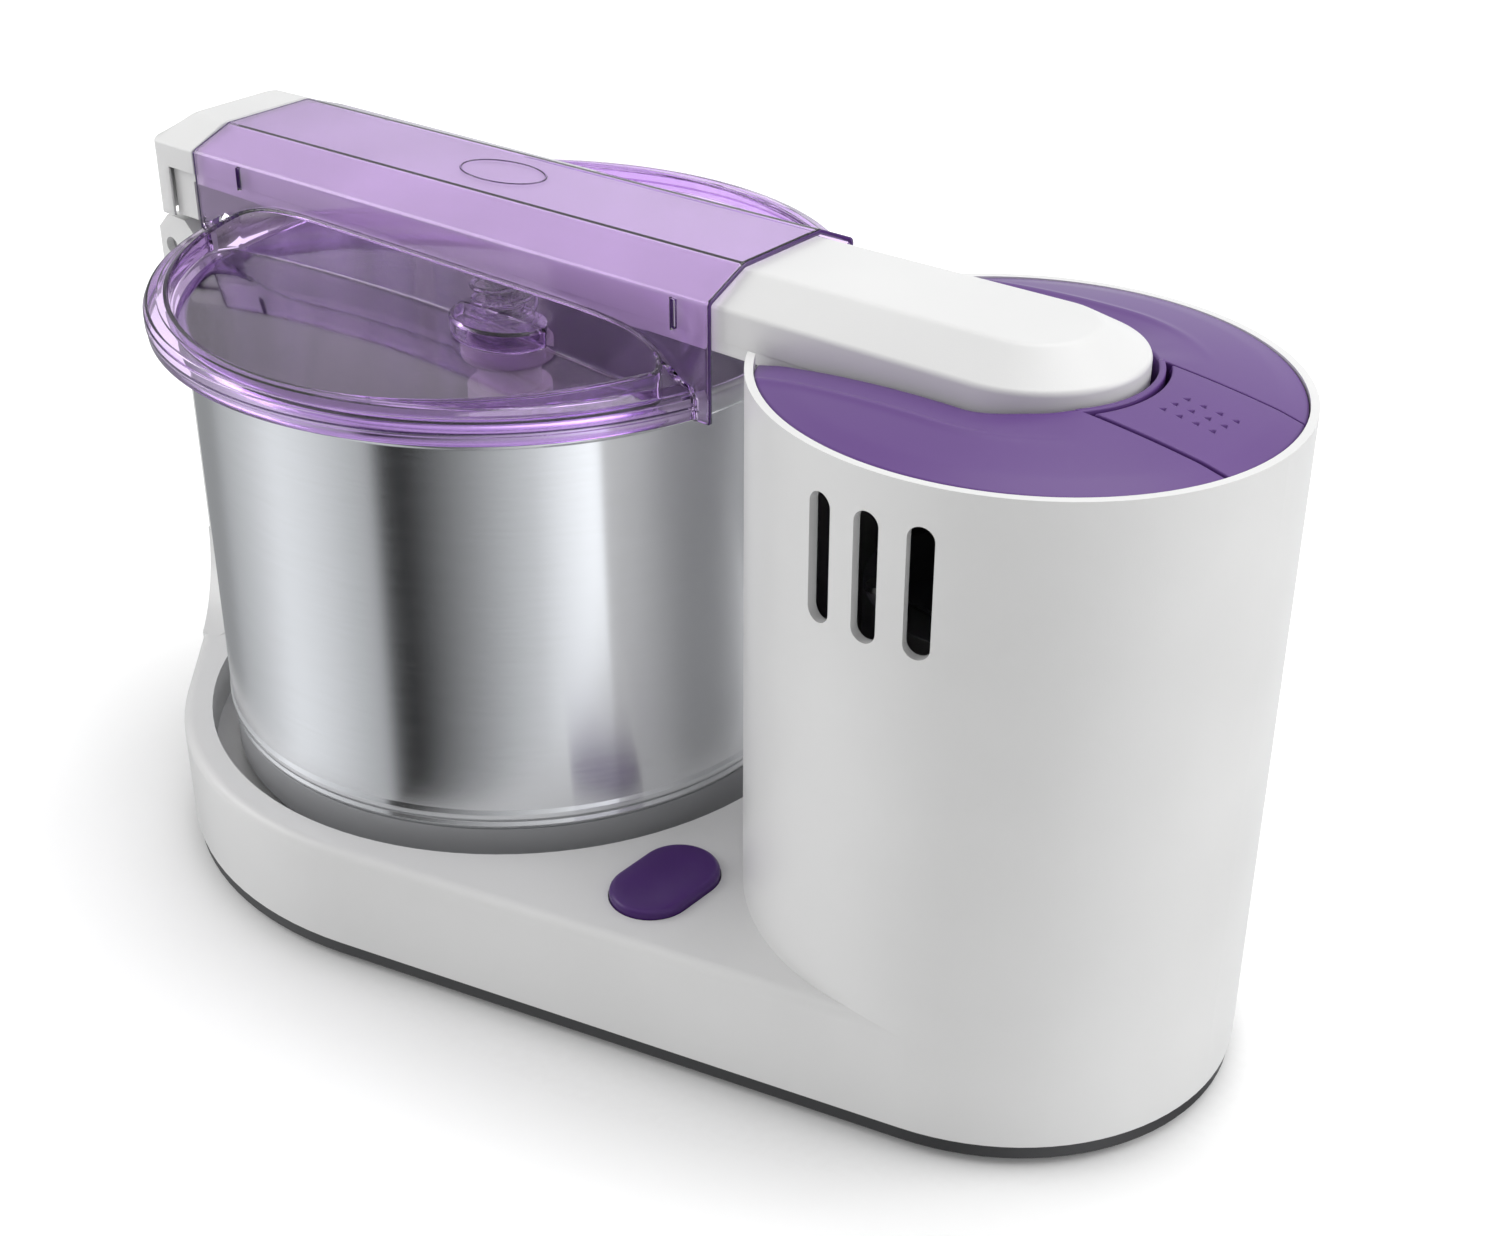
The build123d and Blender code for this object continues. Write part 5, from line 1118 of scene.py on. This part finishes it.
def place_camera():
    """The camera of the photograph: turned about the upright, tilted down and rolled."""
    turn = math.radians(CAMERA_AZIMUTH)
    tilt = math.radians(CAMERA_ELEVATION)
    roll = math.radians(CAMERA_ROLL)
    back = Vector(
        (math.sin(turn) * math.cos(tilt), -math.cos(turn) * math.cos(tilt), math.sin(tilt))
    )
    right = (-back).cross(Vector((0, 0, 1))).normalized()
    up = right.cross(-back)
    turned_right = right * math.cos(roll) + up * math.sin(roll)
    turned_up = up * math.cos(roll) - right * math.sin(roll)
    camera = bpy.data.objects.new("camera", bpy.data.cameras.new("camera"))
    bpy.context.collection.objects.link(camera)
    camera.data.lens = CAMERA_LENS
    camera.data.sensor_width = CAMERA_SENSOR
    camera.data.clip_start = 0.01
    rows = zip(turned_right, turned_up, back)
    place = world(CAMERA_PLACE)
    matrix = [[*row, place[index]] for index, row in enumerate(rows)]
    camera.matrix_world = Matrix(matrix + [[0.0, 0.0, 0.0, 1.0]])
    scene.camera = camera


def soft_light(name, place, width, height, power):
    """A rectangular lamp that faces the machine."""
    lamp = bpy.data.lights.new(name, "AREA")
    lamp.shape = "RECTANGLE"
    lamp.size = width
    lamp.size_y = height
    lamp.energy = power
    thing = bpy.data.objects.new(name, lamp)
    bpy.context.collection.objects.link(thing)
    thing.location = place
    heading = Vector(LAMP_TARGET) - Vector(place)
    thing.rotation_euler = heading.to_track_quat("-Z", "Y").to_euler()


def background(tree, strength):
    """A plain white background of the given strength."""
    node = tree.nodes.new("ShaderNodeBackground")
    node.inputs["Color"].default_value = WHITE
    node.inputs["Strength"].default_value = strength
    return node.outputs["Background"]


def chosen(tree, rays, other, for_rays):
    """One shader for the rays named and another for all the rest."""
    mix = tree.nodes.new("ShaderNodeMixShader")
    tree.links.new(light_path_share(tree, rays), mix.inputs["Fac"])
    tree.links.new(other, mix.inputs[1])
    tree.links.new(for_rays, mix.inputs[2])
    return mix.outputs["Shader"]


def banded_sky(tree):
    """Brightness for mirrors: bright and dark panels stand round the table and fade to white
    overhead. The heading is the turn of a ray's direction about the upright."""
    place = tree.nodes.new("ShaderNodeTexCoord")
    split = tree.nodes.new("ShaderNodeSeparateXYZ")
    tree.links.new(place.outputs["Generated"], split.inputs["Vector"])
    heading = tree.nodes.new("ShaderNodeMath")
    heading.operation = "ARCTAN2"
    tree.links.new(split.outputs["Y"], heading.inputs[0])
    tree.links.new(split.outputs["X"], heading.inputs[1])
    share = spread(tree, heading.outputs[0], 0.0, 1.0, -math.pi, math.pi)
    panels = ramp(tree, share, [
        ((turn + 180) / 360, tuple(level * tint for tint in BAND_TINT))
        for turn, level in STUDIO_BANDS
    ])
    blend = tree.nodes.new("ShaderNodeMix")
    blend.data_type = "RGBA"
    overhead = spread(tree, split.outputs["Z"], 0.0, 1.0, BAND_TOP, BAND_FADE)
    tree.links.new(overhead, blend.inputs["Factor"])
    tree.links.new(panels, blend.inputs["A"])
    blend.inputs["B"].default_value = WHITE
    sky = tree.nodes.new("ShaderNodeBackground")
    tree.links.new(blend.outputs["Result"], sky.inputs["Color"])
    return sky.outputs["Background"]


def build_world():
    """Even light on the object, panels for mirrors, and plain white for the camera, also
    through clear plastic."""
    studio = bpy.data.worlds.new("studio")
    scene.world = studio
    studio.use_nodes = True
    tree = studio.node_tree
    seen = chosen(tree, SEEN_RAYS, background(tree, WORLD_STRENGTH), background(tree, 1.0))
    whole = chosen(tree, ("Is Glossy Ray",), seen, banded_sky(tree))
    tree.links.new(whole, tree.nodes["World Output"].inputs["Surface"])


def build_floor():
    """White paper. It has a light of its own that only the camera sees, also through clear
    plastic. This light grows with the distance from the machine. Close round the machine's
    outline it is weak, which paints a shade on the paper there on top of the real shadow, and far
    out the paper is white."""
    bpy.ops.mesh.primitive_grid_add(
        x_subdivisions=8, y_subdivisions=8, size=FLOOR_SIZE, location=(0, 0, 0)
    )
    floor = bpy.context.object
    floor.name = "floor"
    material, tree, shader = new_material("floor_paper")
    fibre = noise(tree, object_place(tree), FIBRE_SCALE, 3.0)
    tree.links.new(ramp(tree, fibre, PAPER_COLOURS), shader.inputs["Base Color"])
    shader.inputs["Roughness"].default_value = 0.6
    shader.inputs["Specular IOR Level"].default_value = 0.2
    shader.inputs["Emission Color"].default_value = WHITE
    reach = tree.nodes.new("ShaderNodeVectorMath")
    reach.operation = "LENGTH"
    half_sizes = (1 / MACHINE_HALF_LENGTH, 1 / MACHINE_HALF_WIDTH, 1.0)
    tree.links.new(object_place(tree, half_sizes), reach.inputs[0])
    share = spread(tree, reach.outputs["Value"], 0.0, 1.0, 0.0, FLOOR_LIFT_REACH)
    stops = [(place / FLOOR_LIFT_REACH, (level,) * 3) for place, level in FLOOR_GLOW_WITH_PAINTED_SHADE]
    # The weak glow close round the machine is a painted shade on the paper
    lift = tree.nodes.new("ShaderNodeMath")
    lift.operation = "MULTIPLY"
    tree.links.new(light_path_share(tree, SEEN_RAYS), lift.inputs[0])
    tree.links.new(ramp(tree, share, stops), lift.inputs[1])
    tree.links.new(lift.outputs[0], shader.inputs["Emission Strength"])
    floor.data.materials.append(material)
    floor.visible_glossy = False


place_camera()
build_world()
build_floor()
for lamp in LAMPS:
    soft_light(*lamp)
